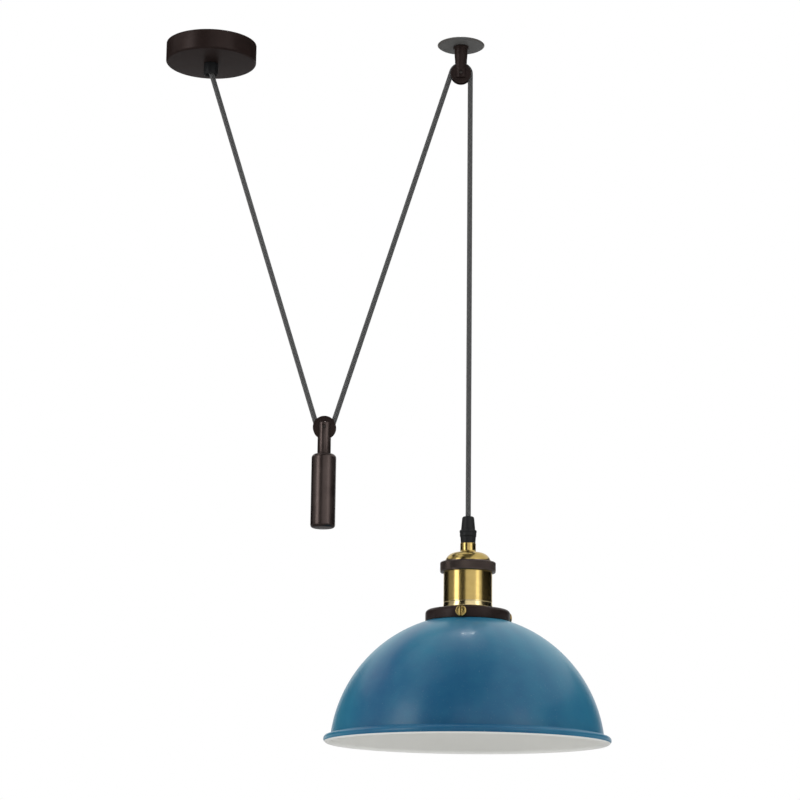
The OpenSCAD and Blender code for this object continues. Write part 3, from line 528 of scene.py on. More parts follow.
def zincPaint(name, deep, pale):
    paint = Paint(name)
    cloud, fine = paint.noise(120, 4, 0.65), paint.noise(1200, 2)
    colour = paint.mix(cloud, deep, pale)
    return paint.finish(Base_Color=colour, Metallic=1.0, Roughness=cloud * 0.2 + 0.24,
                        Normal=paint.bump(fine, 0.00002, 0.5))


def porcelainPaint():
    paint = Paint("porcelain")
    cloud, pores = paint.noise(50, 3), paint.noise(500, 2)
    spots = ((pores - 0.70) * 14).clamp()
    colour = paint.mix(cloud, (0.74, 0.72, 0.66), (0.84, 0.83, 0.79))
    colour = paint.mix(spots * 0.5, colour, (0.45, 0.41, 0.35))
    return paint.finish(Base_Color=colour, Roughness=cloud * 0.1 + 0.12, Coat_Weight=0.5,
                        Coat_Roughness=0.06, Normal=paint.bump(cloud, 0.0004, 0.25))


def enamelPaint(name, deep, pale, specks, paintedLightAmount):  # how strong the dust is, and how strong the painted reflection bands, paler top and paler sides are
    paint = Paint(name)
    cloud, flow = paint.noise(9, 4, 0.55), paint.noise(85, 3, 0.5)
    dust = paint.noise(620, 2, 0.5)
    x, y, z, reach = paint.aroundLamp()
    heading = paint.node("ShaderNodeCombineXYZ", {}, {0: x / reach, 1: y / reach, 2: z * 0.6})
    bands = paint.noise(2.2, 1, 0.5, heading) - 0.5  # painted reflection: paler and darker bands by heading round the lamp
    # painted highlight: paler towards the top of the dome
    high = ((z + 0.705) * 16).clamp()
    sides = (x / reach).math("ABSOLUTE") - 0.5  # painted light: paler towards the two sides along X
    tone = (cloud * 0.5 + flow * 0.25 + 0.1 + bands * paintedLightAmount + (high + sides) * (paintedLightAmount * 0.38)).clamp()
    colour = paint.mix(tone, deep, pale)
    colour = paint.mix(((dust - 0.66) * 9).clamp() * specks, colour, (0.55, 0.66, 0.72))
    skin = paint.bump(flow * 0.6 + dust * 0.12, 0.00022, 0.3)
    return paint.finish(Base_Color=colour, Roughness=flow * 0.1 + 0.3, Specular_IOR_Level=0.3,
                        Coat_Weight=0.12, Coat_Roughness=0.14, Normal=skin)


bronze = bronzePaint("bronzeLacquer", (0.020, 0.0115, 0.0100), (0.044, 0.028, 0.0245))
# a paler, more metallic copy of the lacquered bronze for the counterweight: a lit copy, painted brighter for
# its highlight
litWeightBronze = bronzePaint("litWeightBronze", (0.048, 0.035, 0.032), (0.125, 0.096, 0.088), -0.12, metal=0.9)
# a paler, greyer copy of the bronze for the hook plate: painted sheen
sheenPlateBronze = bronzePaint("sheenPlateBronze", (0.11, 0.108, 0.104), (0.20, 0.197, 0.190), metal=0.3)
# a pale metal for the hook plate's bevel: a painted highlight line
highlightEdgeBronze = bronzePaint("highlightEdgeBronze", (0.30, 0.28, 0.26), (0.46, 0.44, 0.42), metal=1.0)
# the knurled ring: a paler copy of the bronze, as painted highlight on the knurl's points
bronzeRing = bronzePaint("bronzeKnurl", (0.13, 0.098, 0.084), (0.27, 0.213, 0.186), -0.22, (29.0, 29.3), 1.0)
brass = brassPaint("agedBrass")
# a paler, smoother copy of the brass for the sleeve's bead: painted highlight
paintedBeadHighlight = brassPaint("brassBead", 0.13, (0.66, 0.49, 0.20), (0.88, 0.74, 0.42))
brassBright = brassPaint("brassFittings", rough=0.24)
brassScrew = brassPaint("brassScrews", 0.2, slotShadeFace=47.6)
black = plasticPaint("blackPlastic", (0.010, 0.011, 0.012))
nylon = plasticPaint("nylon", (0.72, 0.72, 0.67), 0.35)
brownLead = plasticPaint("leadSleeves", (0.20, 0.10, 0.05), 0.35)
zinc = zincPaint("zinc", (0.50, 0.51, 0.51), (0.70, 0.70, 0.67))
darkSteel = zincPaint("blackenedSteel", (0.035, 0.030, 0.028), (0.075, 0.066, 0.060))
porcelain = porcelainPaint()
blueEnamel = enamelPaint("blueEnamel", (0.007, 0.078, 0.200), (0.032, 0.215, 0.325), 0.10, 1.3)
whiteEnamel = enamelPaint("whiteEnamel", (0.74, 0.74, 0.71), (0.82, 0.82, 0.79), 0.0, 0.0)

# Small pieces that keep their CAD shape
for node, paint in {
    "rose_bracket": zinc, "cover_screws": bronze, "terminal_block": nylon, "terminal_inserts": brass,
    "terminal_screws": zinc, "block_screw": zinc, "earth_screw": brassBright, "rose_nipple": zinc,
    "rose_nut": zinc, "rose_grip_screw": black, "rose_leads": brownLead, "lamp_nipple": zinc,
    "lamp_nut": zinc, "earth_tag": brass, "lamp_leads": brownLead, "socket_terminals": brass,
    "socket_terminal_screws": zinc, "centre_contact": brassBright,
}.items():
    nodes[node].data.materials.clear()
    nodes[node].data.materials.append(paint)
print("finishes")


# Ceiling rose
rose = {
    "r": 50, "h": 22, "wall": 1.2, "edge": 2.5, "hole": 5.1,
    "screwZ": -8, "screwHead": 3.7, "screwNeck": 1.5, "screwIn": 1.1, "screwHalf": 1.15,
    "gripR": 8, "gripLow": -35, "bore": 3.1, "nippleR": 5.1, "nippleLow": -28,
    "mouthR": 6.4, "mouthH": 5, "gripScrewZ": -29.9, "gripScrewR": 1.6, "gripScrewHalf": 5,
}


def makeRose():
    s = rose
    r, h, wall = s["r"], s["h"], s["wall"]
    cover = turned("roseCover", rounded([
        (r, 0, 0.3), (r, -h, s["edge"]), (s["hole"], -h), (s["hole"], -h + wall),
        (r - wall, -h + wall, s["edge"] - wall), (r - wall, 0)], 8), 0, [bronze], 192)
    cutters = [rodCutter((side * (r - s["screwIn"]), 0, s["screwZ"]), s["screwNeck"], s["screwHalf"],
                         "X" if side > 0 else "-X", s["screwHead"]) for side in (1, -1)]
    place(cut(cover, cutters, 0), "ceiling_fittings", "rose_cover")
    low, bore, nut = s["gripLow"], s["bore"], s["nippleR"]
    grip = turned("roseCordGrip", rounded([
        (nut, -h), (s["gripR"], -h, 0.4), (s["gripR"], low, 1), (s["mouthR"], low, 0.3),
        (bore, low + s["mouthH"]), (bore, s["nippleLow"]), (nut, s["nippleLow"])], 5), 0, [black], 96)
    screwHole = rodCutter((0, s["gripR"], s["gripScrewZ"]), s["gripScrewR"], s["gripScrewHalf"], sides=32)
    place(cut(grip, [screwHole], 0), "ceiling_fittings", "rose_cord_grip")


makeRose()
print("rose")


# Pulleys and their axles
wheelSize = {"half": 3.7, "groove": 3.1, "bore": 2.05, "recess": 0.35, "hub": 4.2, "rim": 1.7, "web": 0.3}
axleSize = {"r": 2, "edge": 0.5}


def pulley(name, x, z, flange, cordLine, body, node):
    s = wheelSize
    half, groove, bore, hub, web = s["half"], s["groove"], s["bore"], s["hub"], s["web"]
    rim, dish = flange - s["rim"], -half + s["recess"]
    side = [(bore, 0), (bore, -half, 0.2), (hub, -half, 0.15), (hub + web, dish), (rim - web, dish),
            (rim, -half, 0.15), (flange, -half, 0.25), (flange, -groove, 0.2), (cordLine, -groove)]
    floor = arc(cordLine, 0, groove, -90, -270, 28)[1:-1]
    flank = rounded(side, 4)[1:]
    section = flank + floor + [(r, -y) for r, y in flank[::-1]]
    place(turned(name, section, x, [bronze], 112, level=z), body, node)


def pin(name, x, z, half, body, node):
    r, edge = axleSize["r"], axleSize["edge"]
    axle = turned(name, rounded([(0, -half), (r, -half, edge), (r, half, edge), (0, half)], 4),
                  x, [darkSteel], 48, level=z)
    place(axle, body, node)


# Ceiling hook
hookSize = {
    "plateR": 26, "plateT": 2.2, "plateHole": 3.2, "plateRim": -0.9, "bevel": 1.9,
    "boltR": 2.5, "boltLow": -16.2, "collarR": 8.5, "collarLow": -4.8,
    "stemR": 7.2, "stemLow": -11.8, "tineR": 6.6, "tineTop": -18.7, "end": -39.5,
    "slotR": 14.3, "slotHalf": 4.0, "slotUp": 20, "z": cordSize["hook"][1],
    "axleHole": 2.05, "axleReach": 12, "axleHalf": 6.4, "wheelR": 11.4, "cordR": cordSize["hookR"],
}


def makeHook():
    s = hookSize
    r, low = s["plateR"], -s["plateT"]
    section = rounded([
        (s["plateHole"], 0), (r - 0.5, 0, 0.3), (r, -0.5, 0.2), (r, s["plateRim"], 0.1),
        (r - s["bevel"], low, 0.3), (s["plateHole"], low)], 4)
    bevelled = range(15, 20)  # the stretches of the section that make the bevel, painted bright as a highlight line
    plate = turned("hookPlate", section, hookX, [sheenPlateBronze, highlightEdgeBronze], 160,
                   bands=[int(i in bevelled) for i in range(len(section))])
    place(plate, "ceiling_fittings", "hook_plate")
    fork = turned("hookFork", rounded([
        (0, s["boltLow"]), (s["boltR"], s["boltLow"]), (s["boltR"], low),
        (s["collarR"], low, 0.5), (s["collarR"], s["collarLow"], 0.8),
        (s["stemR"], s["collarLow"], 0.25), (s["stemR"], s["stemLow"], 3),
        (s["tineR"], s["tineTop"], 3), (s["tineR"], s["end"], 0.9), (0, s["end"])], 5), hookX, [bronze], 96)
    z, slotR, half = s["z"], s["slotR"], s["slotHalf"]
    slot = [rodCutter((hookX, 0, z), slotR, half),
            block((hookX - slotR, -half, z - s["slotUp"]), (hookX + slotR, half, z)),
            rodCutter((hookX, 0, z), s["axleHole"], s["axleReach"], sides=48)]
    place(cut(fork, slot, 0.3), "ceiling_fittings", "hook_fork")
    pulley("hookWheel", hookX, z, s["wheelR"], s["cordR"], "hook_pulley", "hook_wheel")
    pin("hookAxle", hookX, z, s["axleHalf"], "ceiling_fittings", "hook_axle")


makeHook()
print("hook")


# Counterweight
weightSize = {
    "z": cordSize["weight"][1], "top": -464, "low": -544, "r": 13.25, "shoulder": 7.5, "foot": 3.2,
    "studR": 4, "studLow": -476, "studPlay": 0.1, "studRoom": 1, "neckR": 7.2, "end": -429.5,
    "slotR": 13.1, "slotHalf": 4.0, "slotUp": 20,
    "axleHole": 2.05, "axleReach": 12, "axleHalf": 7, "wheelR": 12.4, "cordR": cordSize["weightR"],
}


def makeWeight():
    s = weightSize
    bore, boreEnd = s["studR"] + s["studPlay"], s["studLow"] - s["studRoom"]
    body = turned("weightBody", rounded([
        (0, boreEnd), (bore, boreEnd), (bore, s["top"]), (s["r"], s["top"], s["shoulder"]),
        (s["r"], s["low"], s["foot"]), (0, s["low"])], 12), weightX, [litWeightBronze], 144)
    place(body, "counterweight", "weight_body")
    fork = turned("weightFork", rounded([
        (0, s["studLow"]), (s["studR"], s["studLow"], 0.6), (s["studR"], s["top"]), (s["neckR"], s["top"]),
        (s["neckR"], s["end"], 0.8), (0, s["end"])], 5), weightX, [litWeightBronze], 96)
    z, slotR, half = s["z"], s["slotR"], s["slotHalf"]
    slot = [rodCutter((weightX, 0, z), slotR, half),
            block((weightX - slotR, -half, z), (weightX + slotR, half, z + s["slotUp"])),
            rodCutter((weightX, 0, z), s["axleHole"], s["axleReach"], sides=48)]
    place(cut(fork, slot, 0.3), "counterweight", "weight_fork")
    pulley("weightWheel", weightX, z, s["wheelR"], s["cordR"], "weight_pulley", "weight_wheel")
    pin("weightAxle", weightX, z, s["axleHalf"], "counterweight", "weight_axle")


makeWeight()
print("counterweight")


# The lamp's cord grip: the sections of its two halves, as radius, height and fillet
gripSize = {
    "cap": [(3.1, -531.6), (3.9, -531, 0.3), (5.1, -531, 0.4), (6.2, -531.9, 0.6), (6.5, -533.4, 0.8),
            (7.6, -545.7, 0.3), (5.3, -545.7), (5.3, -540.7), (3.1, -537.7)],
    "body": [(3.1, -545.7), (8.6, -545.7, 0.3), (9.1, -546.3, 0.3), (9.1, -548, 0.3), (8.8, -548.5, 0.2),
             (8.8, -552.1, 0.8), (8.2, -553.1, 0.8), (7.8, -559.7), (5.1, -559.7), (5.1, -551.2),
             (3.1, -551.2)],
}


def makeGrip():
    cap = turned("lampGripCap", rounded(gripSize["cap"], 4), lampX, [black], 96)
    place(cap, "lamp", "lamp_grip_cap")
    body = turned("lampGripBody", rounded(gripSize["body"], 4), lampX, [black], 96)
    place(body, "lamp", "lamp_grip_body")


# Lampholder
holder = {
    "capTop": -559.7, "domeTop": -570.1, "capLow": -582.8, "neckR": 8.3, "capR": 24.4, "domeR": 11,
    "nippleR": 5.1, "neckFillet": 3, "capFlange": 1.2, "wall": 1,
    "ringTop": -580.3, "ringLow": -590.9, "ringR": 29.5, "knurlPitch": 3.1, "knurlDepth": 0.6,
    "knurlPoint": 1.3, "bandIn": 1.1, "edgeIn": 0.5, "edgeDown": 0.8,
    "ringBore": 24.6, "ringStepR": 26, "ringStepH": 1.5,
    "sleeveR": 25.8, "sleeveLow": -628.6, "sleeveHole": 20.3, "beadOut": 0.4, "beadEdge": 1.4, "beadH": 4.9,
    "grooveZ": 5.2, "grooveIn": 0.2, "grooveTop": 5.5, "plainFrom": 6,
    "coreTop": -592.1, "coreLow": -651.1, "coreR": 24.5, "socketTop": -617.1, "socketR": 13.9,
    "skirtR": 19.8, "skirtPitch": 3, "skirtDepth": 0.7, "skirtFrom": 1, "skirtTo": 5, "skirtEnd": 1.2,
    "shellR": 13.8, "shellTop": -622.1, "shellLow": -648.1, "shellT": 0.5, "shellEdge": 0.35,
    "shellPitch": 3.629, "shellDepth": 0.75, "shellEnd": 1.5,
}


def makeCap():
    s = holder
    neck, dome, r, wall, fillet = s["neckR"], s["domeTop"], s["capR"], s["wall"], s["neckFillet"]
    crown, middle, low = r - s["domeR"], dome - s["domeR"], s["capLow"]
    outside = rounded([  # the last point only aims the edge before it
        (s["nippleR"], s["capTop"]), (neck, s["capTop"], 0.5), (neck, dome + fillet + 0.01)], 4)[:-1] + \
        arc(neck + fillet, dome + fillet, fillet, 180, 270, 10) + arc(crown, middle, s["domeR"], 90, 0, 28)
    edge = r + s["capFlange"]
    foot = [(r, low + wall), (edge, low + wall), (edge, low), (r - wall, low)]
    inside = arc(crown, middle, s["domeR"] - wall, 0, 90, 20) + [(s["nippleR"], dome - wall)]
    cap = turned("holderCap", outside + foot + inside, lampX, [brass], 160)
    place(cap, "lamp", "holder_cap")


def makeRing():
    s = holder
    r, top, low, bore = s["ringR"], s["ringTop"], s["ringLow"], s["ringBore"]
    bandTop, bandLow = top - s["bandIn"], low + s["bandIn"]
    teeth = round(2 * math.pi * r / s["knurlPitch"])

    def knurl(radius, z, turn):  # two sets of grooves that cross and leave pointed diamonds
        u = turn * teeth / (2 * math.pi)
        v = (z - bandLow) / s["knurlPitch"]
        a, b = np.abs((u + v) % 1 - 0.5) * 2, np.abs((u - v) % 1 - 0.5) * 2
        inBand = (radius > r - 0.01) & (z < bandTop) & (z > bandLow)
        return radius - np.where(inBand, s["knurlDepth"] * np.maximum(a, b) ** s["knurlPoint"], 0)

    first, last = (r, bandTop + 0.05), (r, bandLow - 0.05)
    step, stepTop = s["ringStepR"], top - s["ringStepH"]
    face, down = r - s["edgeIn"], s["edgeDown"]
    section = rounded([(bore, top), (face, top, 0.3), (r, top - down, 0.2), first], 3) + \
        straight(first, last, 36) + \
        rounded([last, (r, low + down, 0.2), (face, low, 0.3), (step, low), (step, stepTop),
                 (bore, stepTop)], 3)
    ring = turned("knurledRing", section, lampX, [bronzeRing], teeth * 6, bend=knurl)
    place(ring, "lamp", "knurled_ring")


def makeSleeve():
    s = holder
    r, low, top, wall, hole = s["sleeveR"], s["sleeveLow"], s["capLow"], s["wall"], s["sleeveHole"]
    out, beadTop = r + s["beadOut"], low + s["beadH"]
    bead = rounded([
        (r, low + s["plainFrom"]), (r, low + s["grooveTop"], 0.2),
        (r - s["grooveIn"], low + s["grooveZ"], 0.1), (r, beadTop, 0.2),
        (out, low + s["beadEdge"], 2), (out, low, 0.3), (hole, low)], 5)
    section = [(r, top)] + bead + [(hole, low + wall), (r - wall, low + wall), (r - wall, top)]
    bands = [1 if 0 < i < len(bead) else 0 for i in range(len(section))]
    sleeve = turned("holderSleeve", section, lampX, [brass, paintedBeadHighlight], 192, bands=bands)
    place(sleeve, "lamp", "holder_sleeve")


# A round thread that runs out at both ends of the stretch from low to high
def roundThread(z, turn, pitch, low, high, runOut):
    wave = 0.5 - 0.5 * np.cos(2 * math.pi * (z / pitch - turn / (2 * math.pi)))
    return wave * np.clip(np.minimum(z - low, high - z) / runOut, 0, 1)


def makeCore():
    s = holder
    skirt, low, flange, core = s["skirtR"], s["coreLow"], s["sleeveLow"] + s["wall"], s["coreR"]

    def skirtThread(radius, z, turn):
        first, last = low + s["skirtFrom"], flange - s["skirtTo"]
        depth = s["skirtDepth"] * roundThread(z, turn, s["skirtPitch"], first, last, s["skirtEnd"])
        return radius - np.where(np.abs(radius - skirt) < 0.01, depth, 0)

    foot = (skirt, low + s["skirtEnd"])
    section = rounded([(s["socketR"], low), (skirt, low, 0.8), foot], 5) + \
        straight(foot, (skirt, flange), 50) + \
        rounded([(skirt, flange), (core, flange, 0.6), (core, s["coreTop"], 1), (0, s["coreTop"]),
                 (0, s["socketTop"]), (s["socketR"], s["socketTop"], 1), (s["socketR"], low)], 5)[:-1]
    porcelainBody = turned("porcelainCore", section, lampX, [porcelain], 128, bend=skirtThread)
    place(porcelainBody, "lamp", "porcelain_core")


def makeShell():
    s = holder
    foot, top = s["shellLow"], s["shellTop"]

    def roll(radius, z, turn):
        return radius - s["shellDepth"] * roundThread(z, turn, s["shellPitch"], foot, top, s["shellEnd"])

    out, inside = s["shellR"], s["shellR"] - s["shellT"]
    below, above = foot - s["shellEdge"], top + s["shellEdge"]
    section = straight((out, below), (out, above), 74) + straight((inside, above), (inside, below), 74)
    shell = turned("socketShell", section, lampX, [brassBright], 128, bend=roll)
    place(shell, "lamp", "socket_shell")


makeGrip()
makeCap()
makeRing()
makeSleeve()
makeCore()
makeShell()
print("lampholder")


# Shade holder, its three screws and the lock ring under it
gallery = {
    "r": 44.75, "top": -628.6, "low": -643.3, "wall": 1.2, "edge": 4.2, "seat": 27.7, "seatH": 1.1,
    "shoulder": -631.1, "hole": 20.3, "screwZ": -637.35, "firstScrew": -98.4,
    "drillR": 2.1, "drillHalf": 6, "drillIn": 1,
    "tip": 40.5, "shankR": 2, "headR": 5.75, "headT": 3.5,
    "slot": 1.5, "slotDepth": 1.6, "slotHalf": 10, "slotOut": 9,
    "lockR": 26, "lockT": 6, "lockRim": 2, "lockCollar": 23.5, "lockBore": 19.9,
    "firstNotch": 45, "notchIn": 3.6, "notchOut": 2.4, "notchHalf": 2.5, "notchTop": 3, "notchLow": 1,
}


def around(turn, radius):
    a = math.radians(turn)
    return Vector((lampX + radius * math.cos(a), radius * math.sin(a), gallery["screwZ"]))


def outward(turn):  # turns +Z to point away from the lamp's axis, and keeps +Y level
    return Matrix.Rotation(math.radians(turn), 4, "Z") @ Matrix.Rotation(math.pi / 2, 4, "Y")


def makeHolder():
    s = gallery
    r, wall, edge, top, hole = s["r"], s["wall"], s["edge"], s["top"], s["hole"]
    seat, deck, low = s["seat"], s["top"] - s["seatH"], s["low"]
    turnR, turnZ = r - edge, s["shoulder"] - edge
    section = rounded([(hole, top), (seat, top, 0.5), (seat, deck, 0.3), (turnR, s["shoulder"])], 4)[:-1] + \
        arc(turnR, turnZ, edge, 90, 0, 12) + \
        rounded([(r, turnZ), (r, low, 0.3), (r - wall, low, 0.3), (r - wall, turnZ)], 3)[1:-1] + \
        arc(turnR, turnZ, edge - wall, 0, 90, 10) + \
        [(seat - wall, deck - wall), (seat - wall, top - wall), (hole, top - wall)]
    body = turned("shadeHolder", section, lampX, [bronze], 192)
    cutters = []
    for i in range(3):
        turn = s["firstScrew"] + 120 * i
        drill = rodCutter((0, 0, 0), s["drillR"], s["drillHalf"], "Z", sides=40)
        drill.data.transform(Matrix.Translation(around(turn, r - s["drillIn"]) * mm) @ outward(turn))
        cutters.append(drill)
    place(cut(body, cutters, 0), "lamp", "shade_holder")


def makeScrews():
    s = gallery
    shank, face, headR = s["shankR"], s["r"], s["headR"]
    front = face + s["headT"]
    joined = bmesh.new()
    for i in range(3):
        turn = s["firstScrew"] + 120 * i
        head = turned("screw", rounded([
            (0, s["tip"]), (shank, s["tip"], 0.3), (shank, face), (headR, face, 0.3), (headR, front, 0.8),
            (0, front)], 4), 0, [], 64)
        groove = block((-s["slotHalf"], -s["slot"] / 2, front - s["slotDepth"]),
                       (s["slotHalf"], s["slot"] / 2, face + s["slotOut"]))
        cut(head, [groove], 0.2)
        head.data.transform(Matrix.Translation(Vector((lampX, 0, s["screwZ"])) * mm) @ outward(turn))
        joined.from_mesh(head.data)
        bpy.data.objects.remove(head)
    mesh = bpy.data.meshes.new("shadeScrews")
    joined.to_mesh(mesh)
    joined.free()
    mesh.materials.append(brassScrew)
    mesh.polygons.foreach_set("material_index", np.zeros(len(mesh.polygons), np.int32))
    screws = bpy.data.objects.new("shadeScrews", mesh)
    bpy.context.scene.collection.objects.link(screws)
    place(screws, "lamp", "shade_screws")


def makeLockRing():
    s = gallery
    collar, r, bore, top = s["lockCollar"], s["lockR"], s["lockBore"], s["top"] - s["wall"]
    foot, rim = top - s["lockT"], top - s["lockRim"]
    ring = turned("lockRing", rounded([
        (bore, top), (r, top, 0.3), (r, rim, 0.4), (collar, rim, 0.2), (collar, foot, 0.6),
        (bore, foot, 0.3)], 4), lampX, [black], 128)
    notches = []
    for i in range(4):
        notch = block((r - s["notchIn"], -s["notchHalf"], foot - s["notchLow"]),
                      (r + s["notchOut"], s["notchHalf"], top - s["notchTop"]))
        turn = Matrix.Rotation(math.radians(s["firstNotch"] + 90 * i), 4, "Z")
        notch.data.transform(Matrix.Translation((lampX * mm, 0, 0)) @ turn)
        notches.append(notch)
    place(cut(ring, notches, 0.2), "lamp", "lock_ring")


makeHolder()
makeScrews()
makeLockRing()
print("shade holder")


# Shade: a dome with a neck, a flared foot and a rolled edge, blue outside and white inside
shadeSize = {
    "domeR": 143.5, "domeZ": -780.09, "wall": 0.8, "neckR": 40.2, "lipTop": -634.25, "lip": 1.6,
    "flareZ": -760.5, "flareFrom": 2.6, "flareTo": 1.9,  # where the flare starts, and its ends' pull
    "rollR0": 146, "rollZ0": -767.09, "rollR": 4, "rollFirst": 92, "rollLast": -170, "rollSteps": 44,
    "paintEdge": -38,  # degrees round the roll at which the blue ends
}


def makeShade():
    s = shadeSize
    r, z, wall, neck, lipTop = s["domeR"], s["domeZ"], s["wall"], s["neckR"], s["lipTop"]
    lipR, lipLow = neck + s["lip"], lipTop - wall
    lip = rounded([(neck - wall, lipTop), (lipR, lipTop, 0.3), (lipR, lipLow, 0.3), (neck, lipLow, 0.3),
                   (neck, z + math.sqrt(r * r - neck * neck))], 3)[:-1]
    first = math.degrees(math.acos(neck / r))
    last = math.degrees(math.asin((s["flareZ"] - z) / r))
    dome = arc(0, z, r, first, last, 90)
    begin, stop = s["rollFirst"], s["rollLast"]
    roll = arc(s["rollR0"], s["rollZ0"], s["rollR"], begin, stop, s["rollSteps"])
    a, b = np.array(dome[-1]), np.array(roll[0])
    down, out = (np.array((math.sin(math.radians(t)), -math.cos(math.radians(t)))) for t in (last, begin))
    c, d = a + down * s["flareFrom"], b - out * s["flareTo"]
    flare = []
    for k in range(1, 10):
        t, u = k / 10, 1 - k / 10
        flare.append(tuple(u ** 3 * a + 3 * u ** 2 * t * c + 3 * u * t * t * d + t ** 3 * b))
    innerFirst = math.degrees(math.asin((s["rollZ0"] - z) / (r - wall)))
    innerLast = math.degrees(math.acos((neck - wall) / (r - wall)))
    inner = arc(0, z, r - wall, innerFirst, innerLast, 90)
    section = lip + dome + flare + roll + inner
    blueRoll = round(s["rollSteps"] * (begin - s["paintEdge"]) / (begin - stop))
    blue = len(lip) + len(dome) + len(flare) + blueRoll
    bands = [0 if i < blue else 1 for i in range(len(section))]
    shade = turned("shade", section, lampX, [blueEnamel, whiteEnamel], 256, bands=bands)
    place(shade, "lamp", "shade")


makeShade()
print("shade")


# Studio: soft lamps, a pale floor, and cards that only reflections show
studio = {
    "floorZ": -1.5, "floorHalf": 14, "floorTone": 0.86, "sky": 0.34, "aim": (0.2, 0, -0.45),
    "lamps": {  # power, width, height, place, and whether polished metal mirrors it
        "key": (20, 1.3, 2.0, (-2.25, -1.7, 0.1), True),
        "fill": (5, 0.8, 1.4, (2.4, -2.0, 0.1), True),
        "left": (17, 1.4, 1.4, (-2.6, 0.1, -0.4), False),
        "right": (20, 1.4, 1.4, (3.0, -0.1, -0.4), False),
        "sparkA": (1.6, 0.06, 0.06, (0.20, 0.86, 1.64), True),  # two small lights on the shade's shoulder
        "sparkB": (1.6, 0.06, 0.06, (0.37, 0.90, 1.60), True),
        "top": (34, 1.6, 1.2, (0.35, -0.2, 2.2), False),
        "low": (1.8, 1.2, 1.2, (0.29, -0.1, -1.42), False),
    },
    # upright cards bent round the lamp: middle x, distance, first and last degree from the camera's
    # side, low, high and glow
    "flags": ((0.25, 1.9, -42, -10, -0.6, 1.9, 0.0), (0.25, 1.9, 68, 150, -0.6, 0.25, 0.0),
              (0.25, 1.9, 206, 258, -0.6, 0.25, 0.0), (0, 0.5, 60, 258, 0.03, 0.4, 0.0),
              (0.25, 1.9, -102, -64, -0.6, 1.9, 0.34)),
    # level cards: first and last x, first and last y, height and glow
    "cards": ((-0.45, 1.05, -3.2, -0.1, 1.5, 0.12), (-7, 7, -3, 11, -1.49, 0.22)),
}


def makeSky():  # white to the camera and in reflections, and dimmer as a light
    world = bpy.data.worlds.new("studio")
    bpy.context.scene.world = world
    world.use_nodes = True
    tree = world.node_tree
    tree.nodes.clear()
    path, back = tree.nodes.new("ShaderNodeLightPath"), tree.nodes.new("ShaderNodeBackground")
    seen = path.outputs["Is Camera Ray"]
    for ray in ("Is Glossy Ray", "Is Transmission Ray"):
        either = tree.nodes.new("ShaderNodeMath")
        either.operation = "MAXIMUM"
        tree.links.new(seen, either.inputs[0])
        tree.links.new(path.outputs[ray], either.inputs[1])
        seen = either.outputs[0]
    scale = tree.nodes.new("ShaderNodeMapRange")
    scale.inputs["To Min"].default_value, scale.inputs["To Max"].default_value = studio["sky"], 1.0
    tree.links.new(seen, scale.inputs["Value"])
    back.inputs["Color"].default_value = (1, 1, 1, 1)
    tree.links.new(scale.outputs[0], back.inputs["Strength"])
    end = tree.nodes.new("ShaderNodeOutputWorld")
    tree.links.new(back.outputs[0], end.inputs[0])


def makeLamps():
    for name, (power, width, height, spot, mirrored) in studio["lamps"].items():
        data = bpy.data.lights.new(name, "AREA")
        data.energy, data.shape, data.size, data.size_y = power, "RECTANGLE", width, height
        lamp = bpy.data.objects.new(name, data)
        bpy.context.scene.collection.objects.link(lamp)
        lamp.location, lamp.visible_glossy = spot, mirrored
        lamp.rotation_mode = "QUATERNION"
        lamp.rotation_quaternion = (Vector(spot) - Vector(studio["aim"])).to_track_quat("Z", "Y")


def stageSheet(name, verts, faces, mat):
    sheet = newObject(name, verts, faces, [mat])
    return sheet


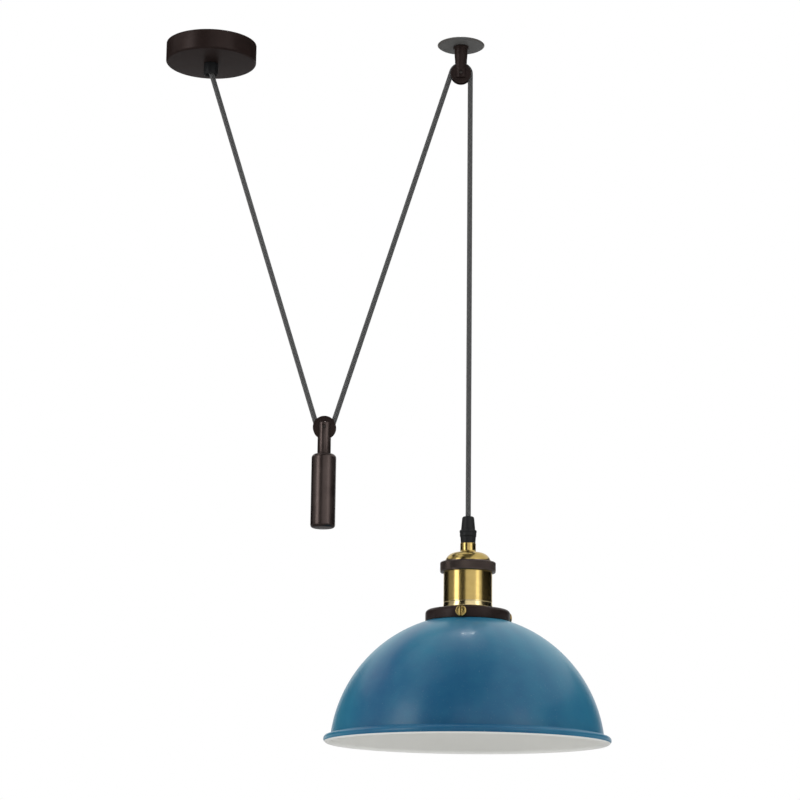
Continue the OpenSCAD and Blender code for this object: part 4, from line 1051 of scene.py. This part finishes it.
def makeFloor():  # nearly white to the camera, so it keeps the shadow, and clear from below
    floor = Paint("floor")
    tone = floor.noise(3, 2) * 0.02 + studio["floorTone"]
    white = floor.node("ShaderNodeCombineColor", {}, {0: tone, 1: tone, 2: tone})
    matte = floor.node("ShaderNodeBsdfDiffuse", {}, {"Color": white})
    glow = floor.node("ShaderNodeEmission", {}, {"Color": (1, 1, 1, 1), "Strength": 1.0})
    x, y, _ = floor.split(floor.coords())
    away = (((x * x + y * y).math("POWER", 0.5) - 1.5) * 0.25).clamp()  # fades into the white behind it
    ray = floor.node("ShaderNodeLightPath", out="Is Camera Ray") * (away * 0.22 + 0.78)
    under = floor.node("ShaderNodeNewGeometry", out="Backfacing")
    both = floor.node("ShaderNodeMixShader", {}, {0: ray, 1: matte, 2: glow})
    clear = floor.node("ShaderNodeBsdfTransparent")
    both = floor.node("ShaderNodeMixShader", {}, {0: under, 1: both, 2: clear})
    end = floor.tree.nodes.new("ShaderNodeOutputMaterial")
    floor.tree.links.new(both.out, end.inputs[0])
    half, z = studio["floorHalf"], studio["floorZ"]
    stageSheet("floor", [(-half, -half, z), (half, -half, z), (half, half, z), (-half, half, z)],
               [(0, 1, 2, 3)], floor.mat)


def makeCards():
    sheets = []
    for middle, reach, first, last, low, high, glow in studio["flags"]:
        count = max(2, round((last - first) / 6))
        verts = []
        for k in range(count + 1):
            a = math.radians(first + (last - first) * k / count)
            x, y = middle + reach * math.sin(a), -reach * math.cos(a)
            verts += [(x, y, low), (x, y, high)]
        sheets.append((verts, [(2 * k, 2 * k + 2, 2 * k + 3, 2 * k + 1) for k in range(count)], glow))
    for x0, x1, y0, y1, z, glow in studio["cards"]:
        sheets.append(([(x0, y0, z), (x1, y0, z), (x1, y1, z), (x0, y1, z)], [(0, 1, 2, 3)], glow))
    for n, (verts, faces, glow) in enumerate(sheets):
        felt = Paint("flag%d" % n).finish(
            Base_Color=(0.006, 0.006, 0.007), Roughness=1.0, Specular_IOR_Level=0.0,
            Emission_Color=(1, 1, 1), Emission_Strength=glow)
        card = stageSheet("flag%d" % n, verts, faces, felt)
        for seenBy in ("camera", "diffuse", "transmission", "shadow"):
            setattr(card, "visible_" + seenBy, False)


makeSky()
makeLamps()
makeFloor()
makeCards()
bpy.context.scene.view_settings.view_transform = "Standard"
print("studio")
